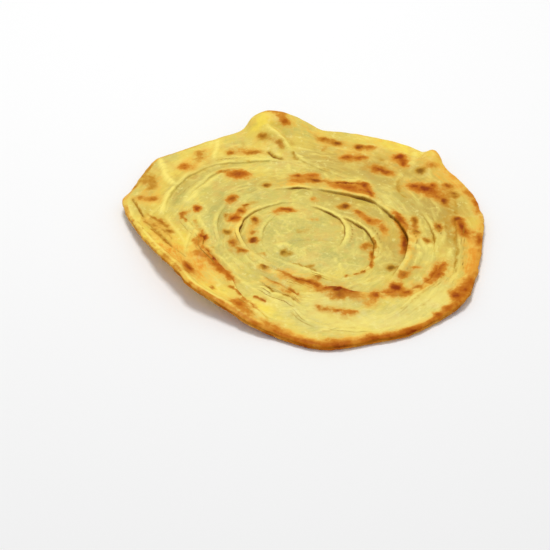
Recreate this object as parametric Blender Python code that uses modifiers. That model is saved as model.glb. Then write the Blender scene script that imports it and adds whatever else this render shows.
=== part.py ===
"""A layered (lachha) paratha: one flat, coiled and rolled flatbread, about 20 cm across.

The bread is one closed solid. It starts as a turned slab with a rounded edge, and loops then
give it the uneven rim of hand-rolled dough, the pleats and curls of that rim, and the stepped
plies of the dough rope that was coiled up before it was rolled flat.
Metres, +Z up. The origin is on the resting plane, under the middle of the bread's extents.
"""

import math

import bpy
import numpy as np

MM = 0.001

# ---------------------------------------------------------------- driving dimensions (mm, degrees)
BLANK_RADIUS = 100.0        # the turned slab before the rim is shaped
THICK_EYE = 5.6             # thickness in the middle of the coil
THICK_RIM = 3.1             # thickness just inside the rounded edge
EDGE_ROUND = 1.9            # how far in the edge starts to round over
FOOT_RADIUS = 58.0          # flat patch of the underside that carries the bread
STEP_WIDTH = 3.6            # run of each ply's riser
PLY_RUN = 13.0              # how far outwards a raised ply takes to fall back

COLUMNS = 108               # facets round the bread
TOP_RINGS = 31
EDGE_RINGS = 4
UNDER_RINGS = 8

# Plan radius of the rim every 20 degrees, counter-clockwise from +X. The side round 220 is the
# one that was rolled short and curls up.
RIM_RADIUS = (98.7, 107.0, 111.0, 113.0, 112.0, 109.5, 110.8, 113.0, 106.0,
              90.8, 78.6, 75.5, 74.7, 78.2, 86.9, 90.3, 95.5, 99.4)

# How far the rim's underside stands off the resting plane at the same stations.
RIM_RISE = (1.2, 0.8, 1.6, 0.9, 0.7, 2.2, 3.0, 2.4, 2.6,
            6.0, 10.4, 9.8, 5.2, 1.0, 0.0, 0.0, 0.3, 0.9)

# Pleats of the rim: angle, height, width clockwise of the crest, width counter-clockwise of it,
# how far in from the rim it dies out, and how much the rim bulges outwards there.
PLEATS = (
    (100.5, 12.0, 13.0, 6.0, 40.0, 4.2),   # the big curl at the back
    (106.0, 2.6, 3.0, 2.0, 18.0, 1.6),     # its steep end
    (84.0, -0.9, 4.0, 4.0, 14.0, -2.6),    # notch beside it
    (47.0, 5.2, 4.6, 2.6, 24.0, 1.6),      # small upturned corner
    (163.0, 2.2, 5.0, 4.0, 20.0, 1.2),
    (140.0, 1.8, 5.0, 5.0, 18.0, 0.8),
    (330.0, 1.2, 6.0, 7.0, 22.0, 1.2),
    (12.0, 1.4, 6.0, 5.0, 20.0, 0.8),
)

# Seams of the coiled rope: from angle, to angle, radius at each end, outward bow in between,
# and the height of the ply that stands up on the seam's outer side.
SEAMS = (
    (-22, 78, 20.0, 30.5, 1.9, 0.80),       # the eye of the coil
    (78, 205, 30.5, 29.0, 7.7, 0.95),
    (205, 330, 29.0, 42.0, -11.0, 0.60),
    (330, 402, 42.0, 30.2, 1.4, 1.05),
    (331, 440, 59.5, 46.4, 1.9, 1.40),      # the deepest seam, right and back
    (83, 128, 47.2, 47.5, 2.2, 0.90),
    (135, 232, 47.0, 41.0, 1.0, 0.45),
    (236, 272, 44.0, 51.5, -0.6, 0.80),     # front left, three short plies
    (237, 271, 38.0, 49.5, -2.5, 0.50),
    (229, 296, 29.5, 41.0, -0.5, 0.60),
    (278, 352, 42.0, 77.0, 4.5, 0.90),      # runs out to the front rim
    (342, 386, 72.5, 69.5, 2.2, 0.60),
    (345, 375, 87.0, 80.5, 0.5, 0.45),
    (165, 262, 66.0, 64.0, -13.0, 1.00),    # inner edge of the curled front-left side
    (28, 80, 68.0, 66.0, 1.5, 0.55),
    (84, 168, 72.0, 84.0, 3.0, 0.80),
    (262, 345, 74.0, 84.0, 2.0, 0.60),
)


# ---------------------------------------------------------------- shape functions
def smooth(t):
    t = np.clip(t, 0.0, 1.0)
    return t * t * (3.0 - 2.0 * t)


def round_stations(values, deg):
    """Cubic (Catmull-Rom) interpolation of equally spaced stations round the bread."""
    n = len(values)
    v = np.asarray(values, float)
    s = np.mod(deg, 360.0) / (360.0 / n)
    i = np.floor(s).astype(int)
    t = s - i
    a, b, c, d = v[(i - 1) % n], v[i % n], v[(i + 1) % n], v[(i + 2) % n]
    return 0.5 * (2 * b + (c - a) * t + (2 * a - 5 * b + 4 * c - d) * t**2 + (3 * b - a - 3 * c + d) * t**3)


def turn(deg, at):
    """Signed angle from at to deg, from -180 to 180."""
    return np.mod(deg - at + 180.0, 360.0) - 180.0


def pleat(deg, at, right, left):
    d = turn(deg, at)
    return np.exp(-((d / np.where(d < 0, right, left)) ** 2))


def rim_radius(deg):
    r = round_stations(RIM_RADIUS, deg)
    for at, _, right, left, _, bulge in PLEATS:
        r = r + bulge * pleat(deg, at, right, left)
    return r + 0.7 * np.sin(np.radians(7 * deg + 40)) + 0.45 * np.sin(np.radians(13 * deg + 100))


def rise(r, deg):
    """Height of the underside over the resting plane."""
    R = rim_radius(deg)
    base = np.maximum(round_stations(RIM_RISE, deg), 0.0)
    z = base * smooth((r - FOOT_RADIUS) / (R - FOOT_RADIUS)) ** 1.2
    for at, high, right, left, reach, _ in PLEATS:
        inward = np.maximum(R - reach, FOOT_RADIUS)
        z = z + high * pleat(deg, at, right, left) * smooth((r - inward) / (R - inward)) ** 1.15
    return z


def thickness(r, deg):
    R = rim_radius(deg)
    return THICK_EYE + (THICK_RIM - THICK_EYE) * smooth((r / R - 0.25) / 0.75)


def plies(r, deg):
    """Stepped relief of the top: each seam lifts the ply on its outer side, which then falls away."""
    z = np.zeros(np.broadcast(r, deg).shape)
    for a0, a1, r0, r1, bow, step in SEAMS:
        for wrap in (0.0, 360.0, -360.0):
            t = (deg + wrap - a0) / (a1 - a0)
            on = smooth(t / 0.12) * smooth((1.0 - t) / 0.12)
            tc = np.clip(t, 0.0, 1.0)
            seam = r0 + (r1 - r0) * tc + 4.0 * bow * tc * (1.0 - tc)
            d = r - seam
            up = smooth((d + STEP_WIDTH / 2) / STEP_WIDTH)
            fall = np.exp(-np.maximum(d, 0.0) / PLY_RUN)
            z = z + step * on * (up * fall - 0.35 * np.exp(-((d + STEP_WIDTH) / STEP_WIDTH) ** 2))
    return z


def top_height(r, deg):
    R = rim_radius(deg)
    near_edge = smooth((R - r) / 7.0)
    dimple = 0.22 * smooth((r - 6.0) / 18.0) * np.sin(r * 0.21 + np.radians(3 * deg)) * np.cos(np.radians(5 * deg) + r * 0.07)
    return rise(r, deg) + thickness(r, deg) + near_edge * (plies(r, deg) + dimple)


# ---------------------------------------------------------------- the turned blank
def blank_profile():
    """(share of the radius, side) down the half section: 1 is the top face and -1 the underside."""
    points = [(i / TOP_RINGS, 1.0) for i in range(TOP_RINGS)]
    for i in range(EDGE_RINGS + 1):
        points.append((1.0, math.cos(math.pi * i / EDGE_RINGS)))
    points += [(1.0 - i / UNDER_RINGS, -1.0) for i in range(1, UNDER_RINGS + 1)]
    return points


def turned_blank(name):
    """The blank: the half section as a chain of edges, turned about Z by a Screw modifier."""
    half = THICK_RIM / 2
    profile = blank_profile()
    inner = (BLANK_RADIUS - EDGE_ROUND)
    verts = []
    for share, side in profile:
        flat = abs(side) == 1.0
        x = share * inner if flat else inner + EDGE_ROUND * math.sqrt(1.0 - side * side)
        verts.append((x * MM, 0.0, side * half * MM))
    edges = [(i, i + 1) for i in range(len(verts) - 1)]
    mesh = bpy.data.meshes.new(name + "_section")
    mesh.from_pydata(verts, edges, [])
    blank = bpy.data.objects.new(name + "_blank", mesh)
    bpy.context.scene.collection.objects.link(blank)
    screw = blank.modifiers.new("turn", "SCREW")
    screw.axis = "Z"
    screw.angle = 2 * math.pi
    screw.steps = screw.render_steps = COLUMNS
    screw.use_merge_vertices = True
    screw.merge_threshold = 0.00001
    bpy.context.view_layer.update()
    graph = bpy.context.evaluated_depsgraph_get()
    solid = bpy.data.meshes.new_from_object(blank.evaluated_get(graph))
    bpy.data.objects.remove(blank)
    return solid


def shape_bread(mesh):
    """Moves each vertex of the turned blank to its place in the rolled, curled and baked bread."""
    co = np.empty(len(mesh.vertices) * 3, np.float32)
    mesh.vertices.foreach_get("co", co)
    co = co.reshape(-1, 3).astype(float) / MM
    rho = np.hypot(co[:, 0], co[:, 1])
    deg = np.degrees(np.arctan2(co[:, 1], co[:, 0]))
    side = np.clip(co[:, 2] / (THICK_RIM / 2), -1.0, 1.0)
    R = rim_radius(deg)
    inner = BLANK_RADIUS - EDGE_ROUND
    share = rho / inner
    r = np.where(rho <= inner + 1e-6, share * (R - EDGE_ROUND), R - EDGE_ROUND + (rho - inner))
    face = np.minimum(r, R - EDGE_ROUND)
    top = top_height(face, deg)
    under = rise(face, deg)
    z = under + (top - under) * (side + 1.0) / 2.0
    out = np.stack([r * np.cos(np.radians(deg)), r * np.sin(np.radians(deg)), z], 1)
    low, high = out.min(0), out.max(0)
    out[:, :2] -= (low[:2] + high[:2]) / 2.0
    out[:, 2] -= low[2]
    mesh.vertices.foreach_set("co", (out * MM).astype(np.float32).ravel())
    mesh.update()


def baked_dough(name):
    """Oily, browned wheat dough."""
    made = bpy.data.materials.new(name)
    made.use_nodes = True
    shader = made.node_tree.nodes["Principled BSDF"]
    shader.inputs["Base Color"].default_value = (0.68, 0.50, 0.14, 1.0)
    shader.inputs["Roughness"].default_value = 0.5
    shader.inputs["Metallic"].default_value = 0.0
    made.diffuse_color = (0.68, 0.50, 0.14, 1.0)
    return made


def main():
    for old in list(bpy.data.objects):
        bpy.data.objects.remove(old)
    parts = bpy.data.collections.new("paratha_flatbread")
    bpy.context.scene.collection.children.link(parts)

    mesh = turned_blank("paratha")
    shape_bread(mesh)
    mesh.name = "paratha"
    bread = bpy.data.objects.new("paratha", mesh)
    bread.data.materials.append(baked_dough("baked_dough"))
    bread.data.shade_smooth()
    parts.objects.link(bread)


main()
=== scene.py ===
"""Looks of a layered (lachha) paratha: one flat, coiled, rolled and griddled flatbread.

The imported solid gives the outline, the curled rim and the size. This script replaces it with a fine
mesh made by the same shape functions, with the seams of the coil as real overlapping lips, creases,
ridges, blisters and a flaky edge, and browns it with a procedural material.
Lengths inside the shape functions are millimetres and angles are degrees, counter-clockwise from +X
about the centre of the coil. Objects are in metres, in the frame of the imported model.
"""

import math

import bpy
import numpy as np
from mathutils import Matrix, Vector


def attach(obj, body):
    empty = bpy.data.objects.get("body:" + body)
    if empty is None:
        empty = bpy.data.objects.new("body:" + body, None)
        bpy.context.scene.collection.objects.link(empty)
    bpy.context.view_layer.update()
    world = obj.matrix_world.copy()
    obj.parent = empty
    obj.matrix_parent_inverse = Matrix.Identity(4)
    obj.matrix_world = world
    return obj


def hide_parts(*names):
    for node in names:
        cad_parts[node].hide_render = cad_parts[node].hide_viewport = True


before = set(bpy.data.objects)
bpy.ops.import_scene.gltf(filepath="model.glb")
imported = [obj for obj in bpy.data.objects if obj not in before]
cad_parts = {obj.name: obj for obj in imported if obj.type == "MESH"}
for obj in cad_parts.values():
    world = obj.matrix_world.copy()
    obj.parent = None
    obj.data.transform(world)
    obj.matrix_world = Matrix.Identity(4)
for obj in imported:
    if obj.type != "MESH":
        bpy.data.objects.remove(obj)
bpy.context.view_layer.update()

MM = 0.001

# ================================================================ the bread's own sizes (as in the solid)
THICK_EYE = 5.6             # thickness in the middle of the coil
THICK_RIM = 3.1             # thickness just inside the rounded edge
EDGE_ROUND = 1.9            # how far in the edge starts to round over
FOOT_RADIUS = 58.0          # flat patch of the underside

# Plan radius of the rim every 20 degrees.
RIM_RADIUS = (98.7, 107.0, 111.0, 113.0, 112.0, 109.5, 110.8, 113.0, 106.0,
              90.8, 78.6, 75.5, 74.7, 78.2, 86.9, 90.3, 95.5, 99.4)

# How far the rim's underside stands off the resting plane at the same stations.
RIM_RISE = (1.2, 0.8, 1.6, 0.9, 0.7, 2.2, 3.0, 2.4, 2.6,
            6.0, 10.4, 9.8, 5.2, 1.0, 0.0, 0.0, 0.3, 0.9)

# Pleats of the rim: angle, height, width clockwise of the crest, width counter-clockwise of it,
# how far in from the rim it dies out, and how much the rim bulges outwards there.
PLEATS = (
    (100.5, 12.0, 13.0, 6.0, 40.0, 4.2),   # the big curl at the back
    (106.0, 2.6, 3.0, 2.0, 18.0, 1.6),     # its steep end
    (84.0, -0.9, 4.0, 4.0, 14.0, -2.6),    # notch beside it
    (47.0, 5.2, 4.6, 2.6, 24.0, 1.6),      # small upturned corner
    (163.0, 2.2, 5.0, 4.0, 20.0, 1.2),
    (140.0, 1.8, 5.0, 5.0, 18.0, 0.8),
    (330.0, 1.2, 6.0, 7.0, 22.0, 1.2),
    (12.0, 1.4, 6.0, 5.0, 20.0, 0.8),
)

# ================================================================ seams of the coil
# Each seam is where the next turn of the dough rope starts: the ply on its outer side overlaps the
# inner one. line: points (x, y, how strong there), counter-clockwise. step: how high the outer ply
# stands; dark: how strong the painted shade in the crevice is; toast: how browned the lip of the outer
# ply is; run: how far outwards the ply takes to fall back.
SEAMS = (
    dict(name="eye", step=1.15, dark=0.85, toast=0.05, run=7, line=(
        (19.0, -7.5, 0.0), (21.5, -3.0, 0.45), (23.2, 1.5, 0.8), (24.2, 6.0, 0.95), (24.2, 9.5, 0.9), (23.5, 13.2, 0.7),
        (21.9, 17.6, 0.85), (18.2, 22.4, 0.95), (14.0, 25.6, 0.95), (10.1, 28.0, 0.8), (5.5, 30.6, 0.4), (1.0, 32.6, 0.0))),
    dict(name="inner left", step=1.5, dark=1.0, toast=0.22, run=8, line=(
        (4.0, 32.8, 0.0), (-4.0, 34.0, 0.25), (-9.5, 33.8, 0.3), (-14.2, 32.5, 0.45), (-20.0, 30.0, 0.5), (-25.0, 26.8, 0.55),
        (-30.0, 21.8, 0.7), (-33.2, 16.2, 0.9), (-34.9, 10.4, 1.0), (-35.1, 5.8, 1.0), (-34.2, 1.0, 0.9), (-31.8, -4.6, 0.75),
        (-28.2, -9.8, 0.65), (-24.2, -14.4, 0.5), (-20.2, -18.4, 0.45), (-15.4, -22.0, 0.3), (-10.5, -24.8, 0.0))),
    dict(name="inner right", step=1.5, dark=0.95, toast=0.22, run=8, line=(
        (28.5, -30.6, 0.0), (33.5, -27.0, 0.4), (37.0, -21.6, 0.55), (38.9, -14.6, 0.75), (39.6, -8.2, 0.9), (39.2, -2.0, 0.9),
        (37.8, 3.6, 0.9), (35.6, 8.0, 0.8), (32.6, 11.8, 0.75), (29.0, 15.0, 0.7), (25.2, 17.9, 0.6), (21.4, 20.6, 0.0))),
    dict(name="ring line", step=0.55, dark=0.5, toast=0.0, run=6, line=(
        (-10.0, 25.2, 0.0), (-14.5, 22.0, 0.5), (-18.4, 16.6, 0.8), (-20.4, 11.0, 0.85), (-21.6, 5.0, 0.8), (-22.0, 0.0, 0.7),
        (-21.6, -5.0, 0.6), (-19.6, -9.8, 0.4), (-15.2, -14.6, 0.4), (-10.2, -17.8, 0.6), (-5.0, -20.4, 1.1), (0.0, -23.2, 1.5),
        (5.0, -25.8, 1.5), (10.0, -28.4, 1.0), (15.5, -30.6, 0.6), (22.0, -32.4, 0.4), (30.0, -33.0, 0.0))),
    dict(name="deep right", step=2.2, dark=1.15, toast=0.30, run=10, line=(
        (48.5, -31.0, 0.0), (51.2, -27.4, 0.65), (53.6, -23.0, 0.8), (55.6, -17.6, 0.85), (57.2, -12.0, 0.95), (58.6, -6.0, 1.1),
        (59.0, 0.0, 1.15), (58.2, 6.2, 1.0), (56.0, 12.2, 0.85), (53.2, 17.8, 0.75), (50.2, 23.2, 0.7), (46.8, 28.2, 0.55),
        (43.8, 32.6, 0.35), (40.6, 36.2, 0.65), (36.0, 38.8, 0.7), (30.0, 41.4, 0.7), (22.4, 44.0, 0.7), (15.4, 45.9, 0.6),
        (10.4, 46.9, 0.45), (7.4, 47.6, 0.0))),
    dict(name="back left", step=1.0, dark=0.8, toast=0.35, run=9, line=(
        (6.4, 47.6, 0.0), (3.6, 48.2, 0.85), (0.0, 48.9, 1.0), (-4.0, 49.1, 1.0), (-7.4, 48.7, 0.85), (-10.6, 47.9, 0.5),
        (-15.0, 46.7, 0.4), (-21.0, 44.4, 0.3), (-28.0, 40.5, 0.2), (-35.0, 34.8, 0.0))),
    dict(name="left faint", step=0.7, dark=0.35, toast=0.15, run=8, line=(
        (-40.0, 36.0, 0.0), (-44.6, 28.6, 0.6), (-47.0, 20.6, 1.0), (-47.4, 12.4, 1.0), (-46.2, 5.0, 0.9), (-44.0, -1.6, 0.6),
        (-40.4, -9.0, 0.5), (-35.4, -15.6, 0.5), (-29.8, -21.8, 0.4), (-23.8, -28.4, 0.0))),
    dict(name="front left brown", step=0.95, dark=0.6, toast=0.35, run=5, line=(
        (-24.4, -19.6, 0.0), (-21.8, -22.4, 0.8), (-17.6, -25.6, 0.9), (-13.8, -27.0, 0.8), (-10.6, -29.0, 1.0), (-6.4, -32.0, 1.0),
        (-2.4, -34.2, 1.0), (1.8, -36.0, 1.0), (6.2, -38.8, 0.8), (10.4, -41.4, 0.0))),
    dict(name="front left ply", step=0.9, dark=0.75, toast=0.30, run=4, line=(
        (-23.0, -30.0, 0.0), (-20.6, -32.0, 0.7), (-17.4, -34.4, 1.0), (-14.2, -36.8, 1.0), (-11.2, -39.2, 1.0), (-7.8, -42.2, 1.0),
        (-4.6, -44.9, 1.0), (-1.8, -47.4, 0.9), (0.8, -50.0, 0.0))),
    dict(name="front left green", step=1.15, dark=1.0, toast=0.0, run=6, line=(
        (-23.6, -37.8, 0.0), (-20.8, -39.8, 0.8), (-17.8, -42.0, 1.0), (-15.2, -44.2, 1.0), (-12.6, -45.8, 1.0), (-9.8, -47.0, 1.0),
        (-7.0, -48.6, 1.0), (-4.4, -50.8, 0.9), (-1.4, -52.8, 0.6), (2.0, -54.6, 0.0))),
    dict(name="running out", step=1.35, dark=0.75, toast=0.20, run=9, line=(
        (6.0, -41.8, 0.0), (10.5, -41.4, 0.8), (15.1, -40.8, 1.0), (19.7, -41.0, 1.1), (24.4, -43.4, 1.1), (30.0, -45.2, 1.0),
        (35.4, -44.6, 0.8), (40.4, -43.4, 0.8), (45.6, -43.8, 0.8), (51.6, -43.6, 0.9), (57.6, -41.6, 0.9), (63.6, -37.6, 0.8),
        (68.4, -32.6, 0.7), (72.4, -26.0, 0.5), (76.2, -17.4, 0.3), (78.8, -9.0, 0.0))),
    dict(name="front crease", step=0.6, dark=0.4, toast=0.0, run=6, line=(
        (48.0, -59.0, 0.0), (52.0, -54.8, 0.7), (55.4, -50.0, 1.0), (58.6, -45.8, 1.0), (63.4, -41.6, 0.9), (68.4, -37.6, 0.9),
        (73.6, -32.0, 0.8), (77.6, -25.6, 0.5), (80.4, -18.0, 0.0))),
    dict(name="front rim crease", step=0.65, dark=0.35, toast=0.0, run=7, line=(
        (-7.0, -51.6, 0.0), (-2.4, -57.6, 0.7), (2.2, -62.8, 1.0), (8.2, -67.4, 1.0), (14.8, -70.0, 1.0), (22.0, -71.6, 1.0),
        (30.0, -72.2, 0.9), (38.0, -71.6, 0.7), (46.4, -69.6, 0.6), (54.4, -66.6, 0.5), (62.0, -62.6, 0.4), (69.0, -57.4, 0.0))),
    dict(name="curled side", step=1.5, dark=0.55, toast=0.10, run=11, line=(
        (-66.6, 26.0, 0.0), (-64.4, 18.4, 0.4), (-61.0, 11.4, 0.7), (-57.2, 5.6, 0.9), (-54.2, 0.6, 0.8), (-55.0, -4.6, 0.7),
        (-52.4, -9.8, 1.0), (-49.2, -14.8, 1.0), (-46.0, -19.6, 0.9), (-42.0, -26.0, 0.8), (-38.2, -32.4, 0.8), (-35.4, -40.0, 0.8),
        (-31.8, -47.4, 1.0), (-27.6, -54.2, 1.0), (-23.0, -60.0, 0.9), (-17.6, -66.0, 0.6), (-10.6, -72.4, 0.0))),
    dict(name="right crease", step=0.75, dark=0.6, toast=0.0, run=7, line=(
        (70.6, -12.0, 0.0), (72.4, -6.6, 0.5), (73.3, -1.6, 0.9), (73.3, 4.0, 1.0), (72.5, 10.0, 1.0), (71.0, 17.0, 1.0),
        (68.6, 24.2, 0.7), (65.2, 30.6, 0.0))),
    dict(name="right rim crease", step=0.6, dark=0.35, toast=0.0, run=7, line=(
        (76.0, -38.0, 0.0), (79.8, -31.0, 0.8), (82.6, -22.6, 1.0), (84.2, -13.0, 1.0), (85.2, -4.0, 1.0), (85.4, 5.0, 1.0),
        (86.0, 14.0, 0.9), (85.4, 23.0, 0.7), (83.0, 32.0, 0.0))),
    dict(name="back right", step=0.5, dark=0.3, toast=0.0, run=8, line=(
        (34.0, 56.6, 0.0), (26.0, 59.4, 0.5), (18.8, 62.4, 0.8), (12.0, 66.8, 1.0), (6.4, 71.0, 1.0), (2.4, 74.4, 1.0), (-1.6, 77.0, 0.8),
        (-4.6, 79.6, 0.0))),
    dict(name="back left rim", step=0.7, dark=0.14, toast=0.0, run=10, line=(
        (-12.0, 73.6, 0.0), (-17.6, 75.0, 0.8), (-24.0, 75.0, 0.9), (-31.0, 74.2, 1.0), (-38.0, 73.4, 1.0), (-44.8, 72.4, 0.8),
        (-52.0, 70.4, 0.7), (-58.6, 66.8, 0.8), (-64.6, 60.8, 1.0), (-69.6, 53.8, 1.1), (-73.4, 45.6, 1.1), (-76.2, 37.0, 0.9),
        (-77.4, 29.0, 0.6), (-77.4, 21.0, 0.0))),
    dict(name="left fold", step=0.65, dark=0.30, toast=0.0, run=5, line=(
        (-40.0, 67.2, 0.0), (-45.0, 65.6, 0.8), (-50.0, 63.0, 1.0), (-53.6, 59.2, 1.0), (-56.2, 54.4, 0.9), (-60.0, 49.4, 0.8),
        (-63.6, 43.2, 0.7), (-66.2, 36.0, 0.5), (-67.6, 30.0, 0.0))),
)
LIFT = 1.2                  # one scale for all the steps


# ================================================================ shape functions
def smooth(t):
    t = np.clip(t, 0.0, 1.0)
    return t * t * (3.0 - 2.0 * t)


def round_stations(values, deg):
    """Cubic (Catmull-Rom) interpolation of equally spaced stations round the bread."""
    n = len(values)
    v = np.asarray(values, float)
    s = np.mod(deg, 360.0) / (360.0 / n)
    i = np.floor(s).astype(int)
    t = s - i
    a, b, c, d = v[(i - 1) % n], v[i % n], v[(i + 1) % n], v[(i + 2) % n]
    return 0.5 * (2 * b + (c - a) * t + (2 * a - 5 * b + 4 * c - d) * t**2 + (3 * b - a - 3 * c + d) * t**3)


def turn(deg, at):
    """Signed angle from at to deg, from -180 to 180."""
    return np.mod(deg - at + 180.0, 360.0) - 180.0


def pleat(deg, at, right, left):
    d = turn(deg, at)
    return np.exp(-((d / np.where(d < 0, right, left)) ** 2))


def rim_radius(deg):
    r = round_stations(RIM_RADIUS, deg)
    for at, _, right, left, _, bulge in PLEATS:
        r = r + bulge * pleat(deg, at, right, left)
    return r + 0.7 * np.sin(np.radians(7 * deg + 40)) + 0.45 * np.sin(np.radians(13 * deg + 100))


def rise(r, deg):
    """Height of the underside over the resting plane."""
    R = rim_radius(deg)
    base = np.maximum(round_stations(RIM_RISE, deg), 0.0)
    z = base * smooth((r - FOOT_RADIUS) / (R - FOOT_RADIUS)) ** 1.2
    for at, high, right, left, reach, _ in PLEATS:
        inward = np.maximum(R - reach, FOOT_RADIUS)
        z = z + high * pleat(deg, at, right, left) * smooth((r - inward) / (R - inward)) ** 1.15
    return z


def thickness(r, deg):
    R = rim_radius(deg)
    return THICK_EYE + (THICK_RIM - THICK_EYE) * smooth((r / R - 0.25) / 0.75)


# ---------------------------------------------------------------- even noise for the mesh
def lattice(seed, n=128):
    return np.random.RandomState(seed).rand(n, n)


def grain(x, y, size, seed):
    """Smooth value noise, -1 to 1, with features about size mm across."""
    table = lattice(seed)
    n = table.shape[0]
    u, v = np.asarray(x) / size, np.asarray(y) / size
    i, j = np.floor(u).astype(int), np.floor(v).astype(int)
    a, b = smooth(u - i), smooth(v - j)
    p, q = table[i % n, j % n], table[(i + 1) % n, j % n]
    s, t = table[i % n, (j + 1) % n], table[(i + 1) % n, (j + 1) % n]
    return 2.0 * ((p * (1 - a) + q * a) * (1 - b) + (s * (1 - a) + t * a) * b) - 1.0


def layered(x, y, size, seed, octaves=3):
    total, amp = 0.0, 1.0
    for k in range(octaves):
        total = total + amp * grain(x + 31.7 * k, y - 17.3 * k, size / 2**k, seed + k)
        amp *= 0.5
    return total / 1.75


def along_ring(r, deg, size, stretch, seed):
    """Noise whose features are size mm across the coil and several times as long along it."""
    c, s = np.cos(np.radians(deg)), np.sin(np.radians(deg))
    return 0.5 * (grain(r + 40.0, stretch * c, size, seed) + grain(r + 40.0, stretch * s, size, seed + 1))


# ---------------------------------------------------------------- seams as curves
def seam_curve(seam):
    """Radius and strength of a seam on a fine run of angles, and how square it is to the radius."""
    x, y, strong = np.array(seam["line"], float).T
    at = np.degrees(np.unwrap(np.arctan2(y, x)))
    rad = np.hypot(x, y)
    lo, hi = at[0], at[-1]
    deg = np.arange(lo - 3.0, hi + 3.0, 0.2)
    line = np.interp(deg, at, rad)
    on = np.interp(deg, at, strong, left=0.0, right=0.0)
    kernel = np.exp(-0.5 * (np.arange(-20, 21) / 7.0) ** 2)
    kernel /= kernel.sum()
    line = np.convolve(np.pad(line, 20, mode="reflect", reflect_type="odd"), kernel, mode="valid")
    on = np.convolve(np.pad(on, 20, mode="edge"), kernel, mode="valid")
    arc = np.concatenate([[0.0], np.cumsum(np.radians(0.2) * line[1:])])
    slant = np.gradient(line, np.radians(deg)) / line
    return deg, line, on, 1.0 / np.sqrt(1.0 + slant**2), arc


SEAM_CURVES = [seam_curve(s) for s in SEAMS]


def seam_distance(k, r, deg):
    """Distance outwards from seam k, square to it, how present the seam is there, and the way along it."""
    at, line, on, square, arc = SEAM_CURVES[k]
    here = np.mod(deg - at[0], 360.0) + at[0]
    near = np.interp(here, at, line)
    present = np.interp(here, at, on, left=0.0, right=0.0)
    cos = np.interp(here, at, square)
    way = np.interp(here, at, arc)
    wobble = 0.34 * grain(way, 0.0 * way + 11.0 * k, 5.5, 41) + 0.16 * grain(way, 0.0 * way + 11.0 * k, 2.3, 43)
    return (r - near - wobble) * cos, present, way
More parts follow.
